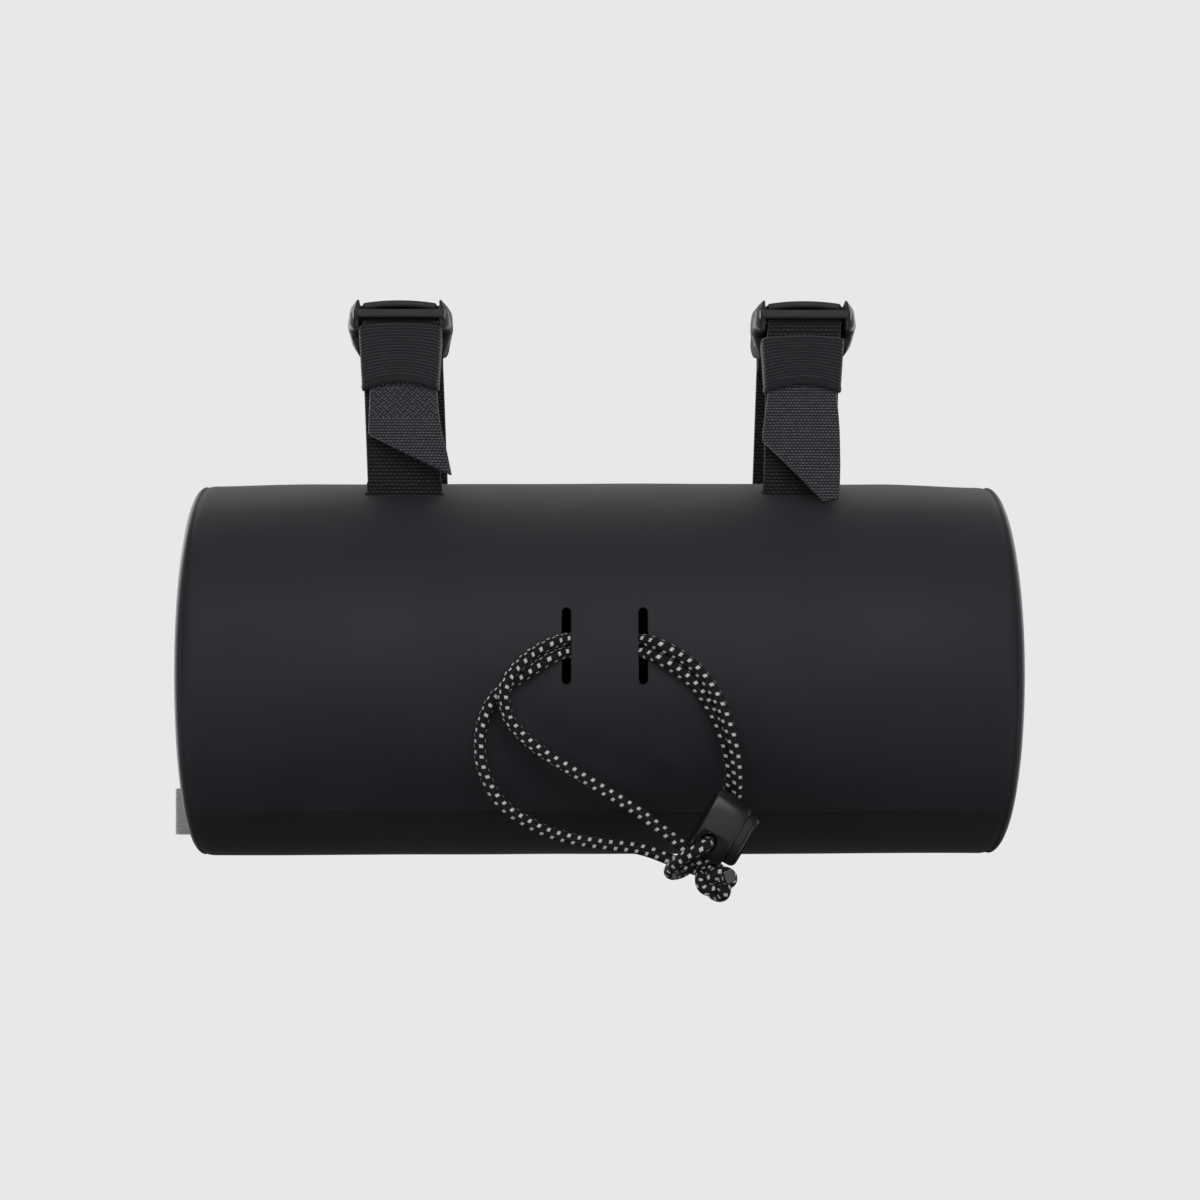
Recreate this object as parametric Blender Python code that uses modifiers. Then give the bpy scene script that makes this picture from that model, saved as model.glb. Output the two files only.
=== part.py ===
"""Handlebar bag: a soft round bag that hangs from a handlebar on two webbing straps.

The origin is the centre of the handlebar, midway between the two straps. X runs along
the bar, -Y is the front of the bag and +Z is up. The bag is a tube of coated cloth whose
axis lies AXIS_DROP below the bar. Angles round the tube start at the front and rise
over the top to the back.
"""

import math

import bmesh
import bpy
import numpy as np
from mathutils import Matrix, Vector

MM = 0.001
GAP = 0.3 * MM                     # space left between pieces that touch

# The tube of the bag
AXIS_DROP = 67.0 * MM              # from the bar's axis down to the tube's axis
TUBE_RADIUS = 50.5 * MM            # outside of the cloth
PANEL_WALL = 1.8 * MM
PANEL_HALF = 105.8 * MM            # half length of the cloth between its end seams
BAG_OFFSET_X = -1.0 * MM           # the tube sits a little left of the straps' middle
EDGE_ROLL = 0.4 * MM               # how far a panel's ends turn in at the end seams
EDGE_ROLL_LENGTH = 3.0 * MM
FRONT_SEAM_ANGLE = -46.0           # degrees
TUBE_STEPS = 72                    # facets of a whole turn

# End caps
CAP_WALL = 2.0 * MM
CAP_CORNER_OUT = 1.2 * MM          # how far the corner carries the cap outwards
CAP_CORNER_IN = 3.2 * MM           # how far it carries it inwards
CAP_DOME = 1.8 * MM
CAP_CORNER_STEPS = 4
CAP_DOME_STEPS = 2

# Zip along the back
ZIP_ANGLE = 165.0                  # degrees
ZIP_OPENING = 12.0 * MM            # between the two panel edges, along the tube
ZIP_TAPE_UNDERLAP = 4.0 * MM       # tape hidden under each panel edge
ZIP_TAPE_WALL = 1.0 * MM
ZIP_END_MARGIN = 2.0 * MM          # tape stops this far inside each end seam
ZIP_TAPE_STEPS = 8
ZIP_COIL_RADIUS = 1.6 * MM
ZIP_COIL_FACETS = 12
SLIDER_FROM_END = 14.8 * MM        # from the tape's right end
SLIDER_SIZE = (8.0 * MM, 9.0 * MM, 2.4 * MM)
SLIDER_ROUND = 2.0 * MM
BRIDGE_SIZE = (6.6 * MM, 2.4 * MM, 3.0 * MM)
BRIDGE_ROUND = 0.8 * MM
BRIDGE_EYE = (4.4 * MM, 1.8 * MM)  # length along X, height
BRIDGE_EYE_ROUND = 0.3 * MM
PULL_WIDTH = 3.6 * MM
PULL_THICK = 0.9 * MM
PULL_DROP = 24.0 * MM
PULL_BEND = 0.5 * MM

# Tab on the left end
TAB_WIDTH = 12.5 * MM
TAB_REACH = 7.0 * MM
TAB_THICK = 1.0 * MM
TAB_LOOP = 3.0 * MM                # between the middles of its two layers
TAB_Y = 10.0 * MM
TAB_BELOW_AXIS = 39.4 * MM

# Cord slots in the front
CORD_SLOT_X = 9.75 * MM
CORD_SLOT_LENGTH = 20.0 * MM
CORD_SLOT_WIDTH = 2.4 * MM
CORD_SLOT_RISE = 7.6 * MM          # middle of the slots above the tube's axis

# Straps, buckles and keepers
BAR_RADIUS = 15.9 * MM
BAR_CLEARANCE = 0.6 * MM
STRAP_X = 52.8 * MM                # middle of each strap where it leaves the bag
WEB_WIDTH = 20.0 * MM
WEB_THICK = 1.6 * MM
WEB_STEP = 3.0 * MM                # longest facet along the webbing
WEB_GAP = 0.5 * MM                 # between the front leg and the tail over it
SLOT_CLEARANCE = 0.45 * MM         # round the webbing in the cloth
WEB_SAG_INSIDE = 0.7 * MM          # webbing below the cloth inside the bag
WEB_BEND = 1.5 * MM                # where the webbing turns sharply
MOUTH_BEND = 2.2 * MM              # over the grip bar into the tail
TAIL_BEND = 20.0 * MM              # below the keeper
BUCKLE_HEIGHT = 14.6 * MM
BUCKLE_OVER_BAR = 1.7 * MM
RAIL_CLEARANCE = 0.65 * MM         # beside the webbing
RAIL_WIDTH = 3.5 * MM              # at its widest
RAIL_ROUND = 2.3 * MM
BAR_FACETS = 14
GRIP_BAR_RADIUS = 1.3 * MM
REAR_BAR_RADIUS = 1.5 * MM
GRIP_BEHIND_FRONT = 12.0 * MM
GRIP_ABOVE_BASE = 6.4 * MM
REAR_BEFORE_END = 2.8 * MM
REAR_ABOVE_BASE = 3.9 * MM
LIP_SET_BACK = 0.2 * MM            # behind the face of the tail
LIP_DEPTH = 2.4 * MM
LIP_HEIGHT = 2.1 * MM
THUMB_LENGTH = 9.0 * MM
THUMB_THICK = 1.9 * MM
THUMB_NOTCH = 0.8 * MM
THUMB_NOTCH_LENGTH = 4.0 * MM
THUMB_BOW = 0.8 * MM
KEEPER_WALL = 1.0 * MM
KEEPER_FACETS = 6                  # across each flat side
KEEPER_CLEARANCE = 0.3 * MM
KEEPER_CORNER = 0.5 * MM           # at the middle of its wall
KEEPER_ARCH = 2.2 * MM             # the lower edge rises this much in the middle
KEEPER_BACK_TOP = 19.6 * MM        # top of the keeper behind the front leg

# Each strap: x of its middle at the bag, keeper and buckle, the keeper's ends, and the tail:
# its lowest point, how far its cut rises over the width, where the cut meets the lower end
# beside the strap's middle, and how far the end swings sideways
STRAP_COLUMNS = ("side", "bag_x", "keeper_x", "buckle_x", "keeper_top", "keeper_bottom",
                 "tail_end", "cut_rise", "cut_x", "tail_swing")
STRAP_TABLE = (
    ("left", -STRAP_X, -53.7 * MM, -54.1 * MM, 24.0 * MM, 8.0 * MM,
     -14.8 * MM, 11.0 * MM, 9.7 * MM, 2.4 * MM),
    ("right", STRAP_X, 53.2 * MM, 54.0 * MM, 21.8 * MM, 7.6 * MM,
     -22.0 * MM, 21.0 * MM, 5.6 * MM, 0.6 * MM),
)
TAIL_LEAN = 5.6 * MM               # how far a tail's end hangs out over the bag
SEWN_FOLD_END = 16.4 * MM          # height of the cut end of the sewn fold

# Outline of a buckle's side rail, as shares of its length from the front and of its height
RAIL_COLUMNS = ("along", "up")
RAIL_OUTLINE = (
    (0.00, 0.466), (0.00, 0.78), (0.04, 1.00), (0.183, 0.918), (0.563, 0.747), (0.887, 0.548),
    (1.00, 0.267), (0.958, 0.02), (0.676, 0.00), (0.31, 0.00), (0.19, 0.096), (0.186, 0.466),
)

# Width of a side rail along its length, both as shares, the front first
FLARE_COLUMNS = ("along", "width")
RAIL_FLARE = ((0.0, 0.5), (0.1, 0.56), (0.42, 0.95), (0.6, 1.0), (1.0, 0.85))

# Shock cord, its lock and its knot
CORD_DIAMETER = 3.0 * MM
CORD_CLEARANCE = 0.35 * MM
CORD_LONGEST_STEP = 7.0 * MM
ROUTE_STEP = 0.5 * MM
CORD_TURN_STEP = math.radians(20.0)
LOCK_CENTRE = (29.2 * MM, -54.5 * MM, -104.6 * MM)
LOCK_TILT = 30.0                   # degrees that the lock's axis points below +X
LOCK_AXIAL = 8.7 * MM
LOCK_LONG = 14.9 * MM
LOCK_DEPTH = 8.0 * MM
LOCK_CORNER = 3.3 * MM
LOCK_WALL = 1.2 * MM
LOCK_FLOOR = 1.6 * MM
LOCK_HOLE_DIAMETER = 4.2 * MM
LOCK_HOLE_FACETS = 20
LOCK_HOLE_LONG = 4.7 * MM          # from the lock's middle towards its lower end
LOCK_HOLE_AXIAL = -1.2 * MM
BUTTON_REACH = 3.4 * MM
BUTTON_END_ROUND = 1.4 * MM
KNOT_CENTRE = (28.1 * MM, -53.0 * MM, -118.9 * MM)
KNOT_RADIUS = 5.1 * MM
KNOT_FACETS = (20, 12)
KNOT_LOBE = 0.07                   # depth of the grooves between turns, as a share
KNOT_TURNS = 3
KNOT_TWIST = 2.5                   # radians of groove per radian towards the tips
KNOT_END_AT = (3.1 * MM, -4.0 * MM, 2.5 * MM)

# The cord's route in mm, from the knot round to the knot. It stays as chosen by hand.
CORD_ROUTE = (
    # from the knot up across the front to the left slot
    (24.8, -54.1, -114.4), (20.6, -54.1, -110.7), (14.5, -53.9, -105.9), (7.5, -53.6, -100.7),
    (-1.3, -53.4, -95.1), (-9.9, -53.3, -89.8), (-18.2, -53.5, -84.3), (-24.0, -54.4, -78.0),
    (-25.5, -55.4, -71.6), (-24.4, -55.4, -67.6), (-21.7, -54.3, -64.1), (-18.2, -52.7, -61.2),
    # through the left slot, behind the bridge and out of the right slot
    (-14.2, -51.8, -59.0), (-10.4, -48.9, -57.8), (-6.0, -46.1, -57.6), (0.0, -45.9, -57.6),
    (6.0, -46.1, -57.7), (10.4, -48.9, -58.0), (14.2, -51.8, -59.3),
    # down the right side, behind the lock and forward through its hole
    (18.7, -52.2, -61.7), (22.9, -53.0, -64.9), (26.2, -53.7, -69.0), (28.9, -54.1, -73.7),
    (30.7, -54.1, -78.5), (32.2, -53.9, -83.6), (33.0, -53.1, -88.4), (33.4, -51.4, -93.5),
    (33.2, -48.7, -98.8), (31.8, -47.9, -103.6), (29.0, -46.9, -107.4), (26.4, -47.3, -108.8),
    (25.6, -50.2, -108.5), (25.6, -54.5, -108.5), (25.6, -58.6, -108.5),
    # the bight, over the two lower strands and back behind them
    (24.6, -61.3, -108.9), (22.0, -61.8, -110.3), (19.0, -60.2, -112.2), (17.0, -57.6, -114.2),
    (16.2, -54.0, -116.0), (17.1, -50.2, -117.2), (19.7, -46.9, -117.0), (22.6, -45.0, -115.2),
    # up behind the lock and the right side to the right slot
    (25.6, -44.0, -111.9), (28.6, -43.6, -107.0), (31.0, -45.0, -100.2), (32.0, -48.1, -93.2),
    (31.5, -49.8, -88.0), (30.1, -51.0, -82.7), (28.4, -51.4, -78.1), (25.7, -51.8, -73.3),
    (22.4, -52.3, -68.9), (18.2, -52.4, -65.4),
    # behind the bridge again to the left slot, then the outer loop down to the knot
    (14.0, -52.2, -62.8), (10.4, -49.4, -61.3), (6.0, -46.5, -61.0), (0.0, -46.4, -61.0),
    (-6.0, -46.5, -61.0), (-10.4, -49.4, -61.2), (-14.0, -52.2, -62.6), (-17.7, -52.3, -64.9),
    (-21.5, -52.3, -67.3), (-25.4, -52.2, -69.9), (-28.0, -52.2, -72.4), (-29.9, -52.2, -75.8),
    (-31.3, -52.2, -80.3), (-31.6, -52.1, -84.6), (-31.3, -52.0, -88.9), (-29.9, -51.9, -92.9),
    (-27.8, -51.7, -97.0), (-24.2, -51.5, -100.8), (-19.7, -51.3, -103.8), (-14.9, -51.2, -106.2),
    (-9.4, -51.1, -107.9), (-3.8, -51.0, -109.0), (1.5, -51.0, -109.7), (6.6, -51.0, -110.3),
    (10.9, -51.0, -111.3), (15.4, -51.0, -113.0), (19.2, -50.9, -114.5), (23.2, -51.7, -116.0),
)

# Finishes: colour as sRGB hex, roughness and metallic value
FINISHES = {
    "coated_cloth": ("2E2B30", 0.62, 0.0),
    "edge_cloth": ("35343A", 0.66, 0.0),
    "webbing": ("2A272C", 0.85, 0.0),
    "elastic": ("2C292E", 0.85, 0.0),
    "buckle_plastic": ("232224", 0.42, 0.0),
    "lock_plastic": ("1B1A1C", 0.28, 0.0),
    "cord_cloth": ("1C1C1E", 0.75, 0.0),
    "zip_tape": ("1F1E21", 0.8, 0.0),
    "zip_metal": ("3A3A3C", 0.4, 0.9),
    "tab_cloth": ("6E6C6B", 0.8, 0.0),
}


def clear_scene():
    """Remove every object of the opened file."""
    for old in list(bpy.data.objects):
        bpy.data.objects.remove(old)


def new_collection(name):
    """Add a collection to the scene."""
    collection = bpy.data.collections.new(name)
    bpy.context.scene.collection.children.link(collection)
    return collection


def linear(channel):
    """Return a linear value for an sRGB channel."""
    return channel / 12.92 if channel <= 0.04045 else ((channel + 0.055) / 1.055) ** 2.4


def finish(name):
    """Return the named finish as a Principled BSDF material, made once."""
    material = bpy.data.materials.get(name)
    if material:
        return material
    colour, roughness, metallic = FINISHES[name]
    material = bpy.data.materials.new(name)
    material.use_nodes = True
    shader = material.node_tree.nodes["Principled BSDF"]
    rgb = [linear(int(colour[i:i + 2], 16) / 255) for i in (0, 2, 4)]
    shader.inputs["Base Color"].default_value = (*rgb, 1)
    shader.inputs["Roughness"].default_value = roughness
    shader.inputs["Metallic"].default_value = metallic
    return material


def add_object(name, bm, material, collection=None, matrix=None):
    """Make a named part from a bmesh and put it in the parts' collection."""
    mesh = bpy.data.meshes.new(name)
    bm.to_mesh(mesh)
    bm.free()
    part = bpy.data.objects.new(name, mesh)
    (collection or PARTS).objects.link(part)
    if material:
        mesh.materials.append(finish(material))
    if matrix:
        part.matrix_world = matrix
    return part


def as_tool(tool):
    """Hide an object that only cuts or joins another."""
    tool.hide_render = True
    tool.display_type = "WIRE"
    for collection in list(tool.users_collection):
        collection.objects.unlink(tool)
    CUTTERS.objects.link(tool)
    return tool


def boolean(part, tool, operation="DIFFERENCE"):
    modifier = part.modifiers.new(f"{operation.lower()}_{tool.name}", "BOOLEAN")
    modifier.operation = operation
    modifier.object = as_tool(tool)
    modifier.solver = "EXACT"


def solidify(part, thickness):
    """Thicken an open surface by the same amount to both sides."""
    modifier = part.modifiers.new("wall", "SOLIDIFY")
    modifier.thickness = thickness
    modifier.offset = 0
    modifier.use_even_offset = True


def rounded_block(size, radius, axis, segments=3):
    """Return a bmesh block whose four edges along one axis are rounded."""
    bm = bmesh.new()
    bmesh.ops.create_cube(bm, size=1)
    bmesh.ops.scale(bm, vec=Vector(size), verts=bm.verts)
    along = Vector([1 if i == axis else 0 for i in range(3)])
    edges = [e for e in bm.edges
             if abs((e.verts[1].co - e.verts[0].co).normalized().dot(along)) > 0.99]
    bmesh.ops.bevel(bm, geom=edges, offset=radius, segments=segments, affect="EDGES",
                    profile=0.5)
    return bm


def rod(name, radius, length, facets, place):
    """Make a round rod along its own Z, to cut or join another part."""
    bm = bmesh.new()
    bmesh.ops.create_cone(bm, cap_ends=True, segments=facets, radius1=radius, radius2=radius,
                          depth=length)
    return add_object(name, bm, None, matrix=place)


def tube_point(x, radius, degrees):
    """Return the place at a radius and angle of the bag's tube."""
    turn = math.radians(degrees)
    return Vector((x, -radius * math.cos(turn), -AXIS_DROP + radius * math.sin(turn)))


def turned(name, profile, top_angle, sweep, steps, thickness, material):
    """Turn a profile of (x, radius) about the tube's axis and give it a wall.

    The profile starts at top_angle and turns down over the front by sweep degrees.
    """
    bm = bmesh.new()
    turn = math.radians(top_angle)
    verts = [bm.verts.new((x, -r * math.cos(turn), r * math.sin(turn))) for x, r in profile]
    for first, second in zip(verts, verts[1:]):
        bm.edges.new((first, second))
    part = add_object(name, bm, material,
                      matrix=Matrix.Translation((BAG_OFFSET_X, 0, -AXIS_DROP)))
    screw = part.modifiers.new("turn", "SCREW")
    screw.axis = "X"
    screw.angle = math.radians(sweep)
    screw.steps = steps
    screw.render_steps = steps
    screw.use_merge_vertices = True
    screw.merge_threshold = 0.00001
    screw.use_smooth_shade = True
    solidify(part, thickness)
    return part


def panel(name, low_angle, high_angle):
    """Make a cloth panel of the tube between two angles."""
    middle = TUBE_RADIUS - PANEL_WALL / 2
    roll = ((PANEL_HALF, EDGE_ROLL), (PANEL_HALF - EDGE_ROLL_LENGTH / 2, EDGE_ROLL / 4),
            (PANEL_HALF - EDGE_ROLL_LENGTH, 0.0))
    right = [(x, middle - drop) for x, drop in reversed(roll)]
    left = [(-x, middle - drop) for x, drop in roll]
    sweep = high_angle - low_angle
    steps = round(TUBE_STEPS * sweep / 360)
    return turned(name, left + right, high_angle, sweep, steps, PANEL_WALL, "coated_cloth")


def arc_degrees(length):
    """Return the angle that a length along the cloth takes."""
    return math.degrees(length / TUBE_RADIUS)


def web_leg_y():
    """Return how far the legs of a strap stand from the bar's axis."""
    return BAR_RADIUS + BAR_CLEARANCE + WEB_THICK / 2


def build_panels():
    """Make the shell over the top and the base below the front seam."""
    half_zip = arc_degrees(ZIP_OPENING / 2)
    seam = arc_degrees(GAP / 2)
    shell = panel("shell_panel", FRONT_SEAM_ANGLE + seam, ZIP_ANGLE - half_zip)
    panel("base_panel", ZIP_ANGLE + half_zip, FRONT_SEAM_ANGLE + 360 - seam)
    for side in (-1, 1):
        slot = rounded_block((CORD_SLOT_WIDTH, TUBE_RADIUS, CORD_SLOT_LENGTH),
                             CORD_SLOT_WIDTH * 0.49, 1)
        place = Matrix.Translation((side * CORD_SLOT_X, -TUBE_RADIUS,
                                    CORD_SLOT_RISE - AXIS_DROP))
        boolean(shell, add_object(f"cord_slot_{side}", slot, None, matrix=place))
        for face in (-1, 1):
            opening = rounded_block((WEB_WIDTH + 2 * SLOT_CLEARANCE,
                                     WEB_THICK + 2 * SLOT_CLEARANCE, TUBE_RADIUS / 2),
                                    SLOT_CLEARANCE, 2, 1)
            place = Matrix.Translation((side * STRAP_X, face * web_leg_y(),
                                        TUBE_RADIUS - AXIS_DROP))
            boolean(shell, add_object(f"strap_slot_{side}_{face}", opening, None, matrix=place))
    return shell


def build_cap(side):
    """Make one domed end cap; side is -1 for the left and 1 for the right."""
    rim_x = PANEL_HALF + GAP
    rim = TUBE_RADIUS - EDGE_ROLL - PANEL_WALL / 2
    flat = rim - CAP_CORNER_IN
    profile = []
    for step in range(CAP_CORNER_STEPS + 1):
        turn = math.pi / 2 * step / CAP_CORNER_STEPS
        profile.append((rim_x + CAP_CORNER_OUT * math.sin(turn),
                        flat + CAP_CORNER_IN * math.cos(turn)))
    for step in range(1, CAP_DOME_STEPS + 1):
        radius = flat * (1 - step / CAP_DOME_STEPS)
        rise = CAP_DOME * (1 - (radius / flat) ** 2)
        profile.append((rim_x + CAP_CORNER_OUT + rise, radius))
    name = "end_cap_left" if side < 0 else "end_cap_right"
    turned(name, [(side * x, r) for x, r in profile], 0, 360, TUBE_STEPS, CAP_WALL,
           "edge_cloth")


def build_zip():
    """Make the zip along the back: tape with its coil, slider and cloth pull."""
    tape_half = ZIP_OPENING / 2 + ZIP_TAPE_UNDERLAP
    tape_middle = TUBE_RADIUS - PANEL_WALL - GAP - ZIP_TAPE_WALL / 2
    half_length = PANEL_HALF - ZIP_END_MARGIN
    sweep = 2 * math.degrees(tape_half / tape_middle)
    tape = turned("zip_tape", [(-half_length, tape_middle), (half_length, tape_middle)],
                  ZIP_ANGLE + sweep / 2, sweep, ZIP_TAPE_STEPS, ZIP_TAPE_WALL, "zip_tape")
    coil = bmesh.new()
    coil_radius = tape_middle + ZIP_TAPE_WALL / 2
    place = (Matrix.Translation(tube_point(BAG_OFFSET_X, coil_radius, ZIP_ANGLE))
             @ Matrix.Rotation(math.pi / 2, 4, "Y"))
    coil = rod("zip_coil", ZIP_COIL_RADIUS, 2 * (half_length - GAP), ZIP_COIL_FACETS, place)
    boolean(tape, coil, "UNION")

    slider_x = BAG_OFFSET_X + half_length - SLIDER_FROM_END
    lean = Matrix.Rotation(math.radians(90 - ZIP_ANGLE), 4, "X")
    body_radius = coil_radius + ZIP_COIL_RADIUS + GAP + SLIDER_SIZE[2] / 2
    slider = add_object("zip_slider", rounded_block(SLIDER_SIZE, SLIDER_ROUND, 2), "zip_metal",
                        matrix=Matrix.Translation(tube_point(slider_x, body_radius, ZIP_ANGLE))
                        @ lean)
    bridge_radius = body_radius + SLIDER_SIZE[2] / 2 + BRIDGE_SIZE[2] / 2 - GAP
    bridge_at = Matrix.Translation(tube_point(slider_x, bridge_radius, ZIP_ANGLE)) @ lean
    bridge = add_object("slider_bridge", rounded_block(BRIDGE_SIZE, BRIDGE_ROUND, 1), None,
                        matrix=bridge_at)
    boolean(slider, bridge, "UNION")
    eye_radius = body_radius + SLIDER_SIZE[2] / 2 + BRIDGE_EYE[1] / 2
    eye = rounded_block((BRIDGE_EYE[0], SLIDER_SIZE[1], BRIDGE_EYE[1]), BRIDGE_EYE_ROUND, 1, 1)
    eye_centre = tube_point(slider_x, eye_radius, ZIP_ANGLE)
    boolean(slider, add_object("slider_eye", eye, None,
                               matrix=Matrix.Translation(eye_centre) @ lean))

    clear = PULL_THICK / 2 + GAP
    over = BRIDGE_SIZE[2] - GAP - BRIDGE_EYE[1] / 2 + clear
    beside = BRIDGE_SIZE[1] / 2 + clear
    turn = Matrix.Rotation(math.radians(90 - ZIP_ANGLE), 3, "X")
    loop = [eye_centre + turn @ Vector((0, down, out))
            for down, out in ((beside, over), (-beside, over), (-beside, 0.0),
                              (SLIDER_SIZE[1] / 2 + clear, 0.0))]
    low = eye_centre.z - PULL_DROP
    corners = [(loop[3].y + PULL_THICK + GAP, low, 0)]
    corners += [(corner.y, corner.z, PULL_BEND) for corner in loop]
    corners.append((loop[3].y, low, 0))
    ribbon("zip_pull", round_corners(corners), lambda y, z: slider_x, PULL_WIDTH, PULL_THICK,
           "tab_cloth")


def round_corners(corners, arc_steps=4):
    """Round the corners (y, z, radius) of a path and return its points (y, z)."""
    points = [Vector(corners[0][:2])]
    for before, corner, after in zip(corners, corners[1:], corners[2:]):
        place = Vector(corner[:2])
        radius = corner[2]
        into = (Vector(before[:2]) - place).normalized()
        out = (Vector(after[:2]) - place).normalized()
        half = into.angle(out) / 2
        if radius <= 0 or half > math.radians(85):
            points.append(place)
            continue
        centre = place + (into + out).normalized() * (radius / math.sin(half))
        first = (place + into * (radius / math.tan(half)) - centre).normalized()
        last = (place + out * (radius / math.tan(half)) - centre).normalized()
        for step in range(arc_steps + 1):
            points.append(centre + first.slerp(last, step / arc_steps) * radius)
    points.append(Vector(corners[-1][:2]))
    return [(p.x, p.y) for p in points]


def split_long(path, longest):
    """Add points along a path (y, z) so that no stretch is longer than longest."""
    points = [path[0]]
    for (y0, z0), (y1, z1) in zip(path, path[1:]):
        pieces = max(1, math.ceil(math.hypot(y1 - y0, z1 - z0) / longest))
        for step in range(1, pieces + 1):
            share = step / pieces
            points.append((y0 + (y1 - y0) * share, z0 + (z1 - z0) * share))
    return points


def ribbon(name, path, middle_x, width, thickness, material, swing=None):
    """Make a flat band that follows a path (y, z), its middle at middle_x(y, z)."""
    bm = bmesh.new()
    rows = []
    for index, (y, z) in enumerate(path):
        shift = middle_x(y, z) + (swing(index, z) if swing else 0)
        rows.append([bm.verts.new((shift + side * width / 2, y, z)) for side in (-1, 1)])
    for (a, b), (c, d) in zip(rows, rows[1:]):
        bm.faces.new((a, b, d, c))
    part = add_object(name, bm, material)
    solidify(part, thickness)
    return part


def buckle_places():
    """Return the y and z of a buckle's front, base, grip bar and rear bar."""
    leg = web_leg_y()
    tail_y = -(leg + WEB_THICK + WEB_GAP)
    front = tail_y - WEB_THICK / 2 + LIP_SET_BACK
    base = BAR_RADIUS + BUCKLE_OVER_BAR
    grip = (front + GRIP_BEHIND_FRONT, base + GRIP_ABOVE_BASE)
    rear = (leg - REAR_BAR_RADIUS - GAP - WEB_THICK / 2, base + REAR_ABOVE_BASE)
    length = rear[0] + REAR_BEFORE_END - front
    return {"leg": leg, "tail": tail_y, "front": front, "base": base, "grip": grip,
            "rear": rear, "length": length}


def strap_path(row):
    """Return a strap's path (y, z) from its sewn fold round to the end of its tail."""
    at = buckle_places()
    leg = at["leg"]
    web = WEB_THICK / 2
    turn_grip = GRIP_BAR_RADIUS + GAP + web
    turn_rear = REAR_BAR_RADIUS + GAP + web
    rear_y, rear_z = at["rear"]
    grip_y, grip_z = at["grip"]
    inside = TUBE_RADIUS - PANEL_WALL - WEB_SAG_INSIDE - web
    corner_z = math.sqrt(inside ** 2 - leg ** 2) - AXIS_DROP
    corners = [
        (leg - WEB_THICK - GAP, SEWN_FOLD_END, 0),
        (rear_y - turn_rear, rear_z - turn_rear * 0.6, WEB_BEND),
        (rear_y - turn_rear, rear_z + turn_rear, turn_rear * 0.95),
        (leg, rear_z + turn_rear, turn_rear * 0.95),
        (leg, corner_z, WEB_BEND),
    ]
    for share in (0.5, 0.0, -0.5):
        y = leg * share
        corners.append((y, math.sqrt(inside ** 2 - y ** 2) - AXIS_DROP, 0))
    corners += [
        (-leg, corner_z, WEB_BEND),
        (-leg, grip_z - turn_grip, WEB_BEND),
        (grip_y + turn_grip, grip_z - turn_grip, turn_grip * 0.98),
        (grip_y + turn_grip, grip_z + turn_grip, turn_grip * 0.98),
        (at["tail"], grip_z + turn_grip, MOUTH_BEND),
        (at["tail"], row["keeper_bottom"], TAIL_BEND),
        (at["tail"] - TAIL_LEAN, row["tail_end"], 0),
    ]
    return split_long(round_corners(corners), WEB_STEP)


def build_strap(row):
    """Make one strap of webbing with its slanted tail."""
    path = strap_path(row)
    at = buckle_places()
    bag_top = TUBE_RADIUS - AXIS_DROP
    front_heights = (bag_top, row["keeper_bottom"], KEEPER_BACK_TOP,
                     at["grip"][1] + GRIP_BAR_RADIUS + WEB_THICK)
    front_middles = (row["bag_x"], row["keeper_x"], row["keeper_x"], row["buckle_x"])

    def middle_x(y, z):
        if y > at["grip"][0] + WEB_WIDTH / 2:
            return float(np.interp(z, (bag_top, at["base"]), (row["bag_x"], row["buckle_x"])))
        return float(np.interp(z, front_heights, front_middles))

    tail_from = max(i for i, (y, z) in enumerate(path) if z > row["keeper_bottom"])

    def swing(index, z):
        if index <= tail_from:
            return 0.0
        share = (row["keeper_bottom"] - z) / (row["keeper_bottom"] - row["tail_end"])
        return row["tail_swing"] * share ** 2

    strap = ribbon(f"strap_{row['side']}", path, middle_x, WEB_WIDTH, WEB_THICK, "webbing",
                   swing)
    slope = math.atan2(row["cut_rise"], WEB_WIDTH)
    cutter = bmesh.new()
    bmesh.ops.create_cube(cutter, size=1)
    depth = 2 * (TAIL_LEAN + WEB_THICK)
    height = 3 * WEB_WIDTH
    bmesh.ops.scale(cutter, vec=(height, depth, height), verts=cutter.verts)
    back = at["tail"] + WEB_THICK / 2 + WEB_GAP / 2
    low = Vector((row["bag_x"] + row["cut_x"], back - depth / 2, row["tail_end"]))
    tilt = Matrix.Rotation(slope, 4, "Y")
    place = Matrix.Translation(low) @ tilt @ Matrix.Translation((0, 0, -height / 2))
    boolean(strap, add_object(f"tail_cut_{row['side']}", cutter, None, matrix=place))


def loft_along_x(stations, outline):
    """Return a bmesh of one outline (y, z) repeated at each (x, z shift) station."""
    bm = bmesh.new()
    rings = [[bm.verts.new((x, y, z + shift)) for y, z in outline] for x, shift in stations]
    count = len(outline)
    for first, second in zip(rings, rings[1:]):
        for i in range(count):
            j = (i + 1) % count
            bm.faces.new((first[i], first[j], second[j], second[i]))
    bm.faces.new(rings[0])
    bm.faces.new(list(reversed(rings[-1])))
    bmesh.ops.recalc_face_normals(bm, faces=bm.faces)
    return bm


def bowed_bar(half_width, front, rear, low, high, bow, stations=7):
    """Return a cross bar that is bow lower at its ends than in its middle."""
    places = []
    for step in range(stations):
        share = 2 * step / (stations - 1) - 1
        places.append((share * half_width, -bow * share ** 2))
    chamfer = 0.3 * (high - low)
    outline = [(front + chamfer, low), (rear, low), (rear, high), (front + chamfer, high),
               (front, high - chamfer), (front, low + chamfer)]
    return loft_along_x(places, outline)


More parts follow.
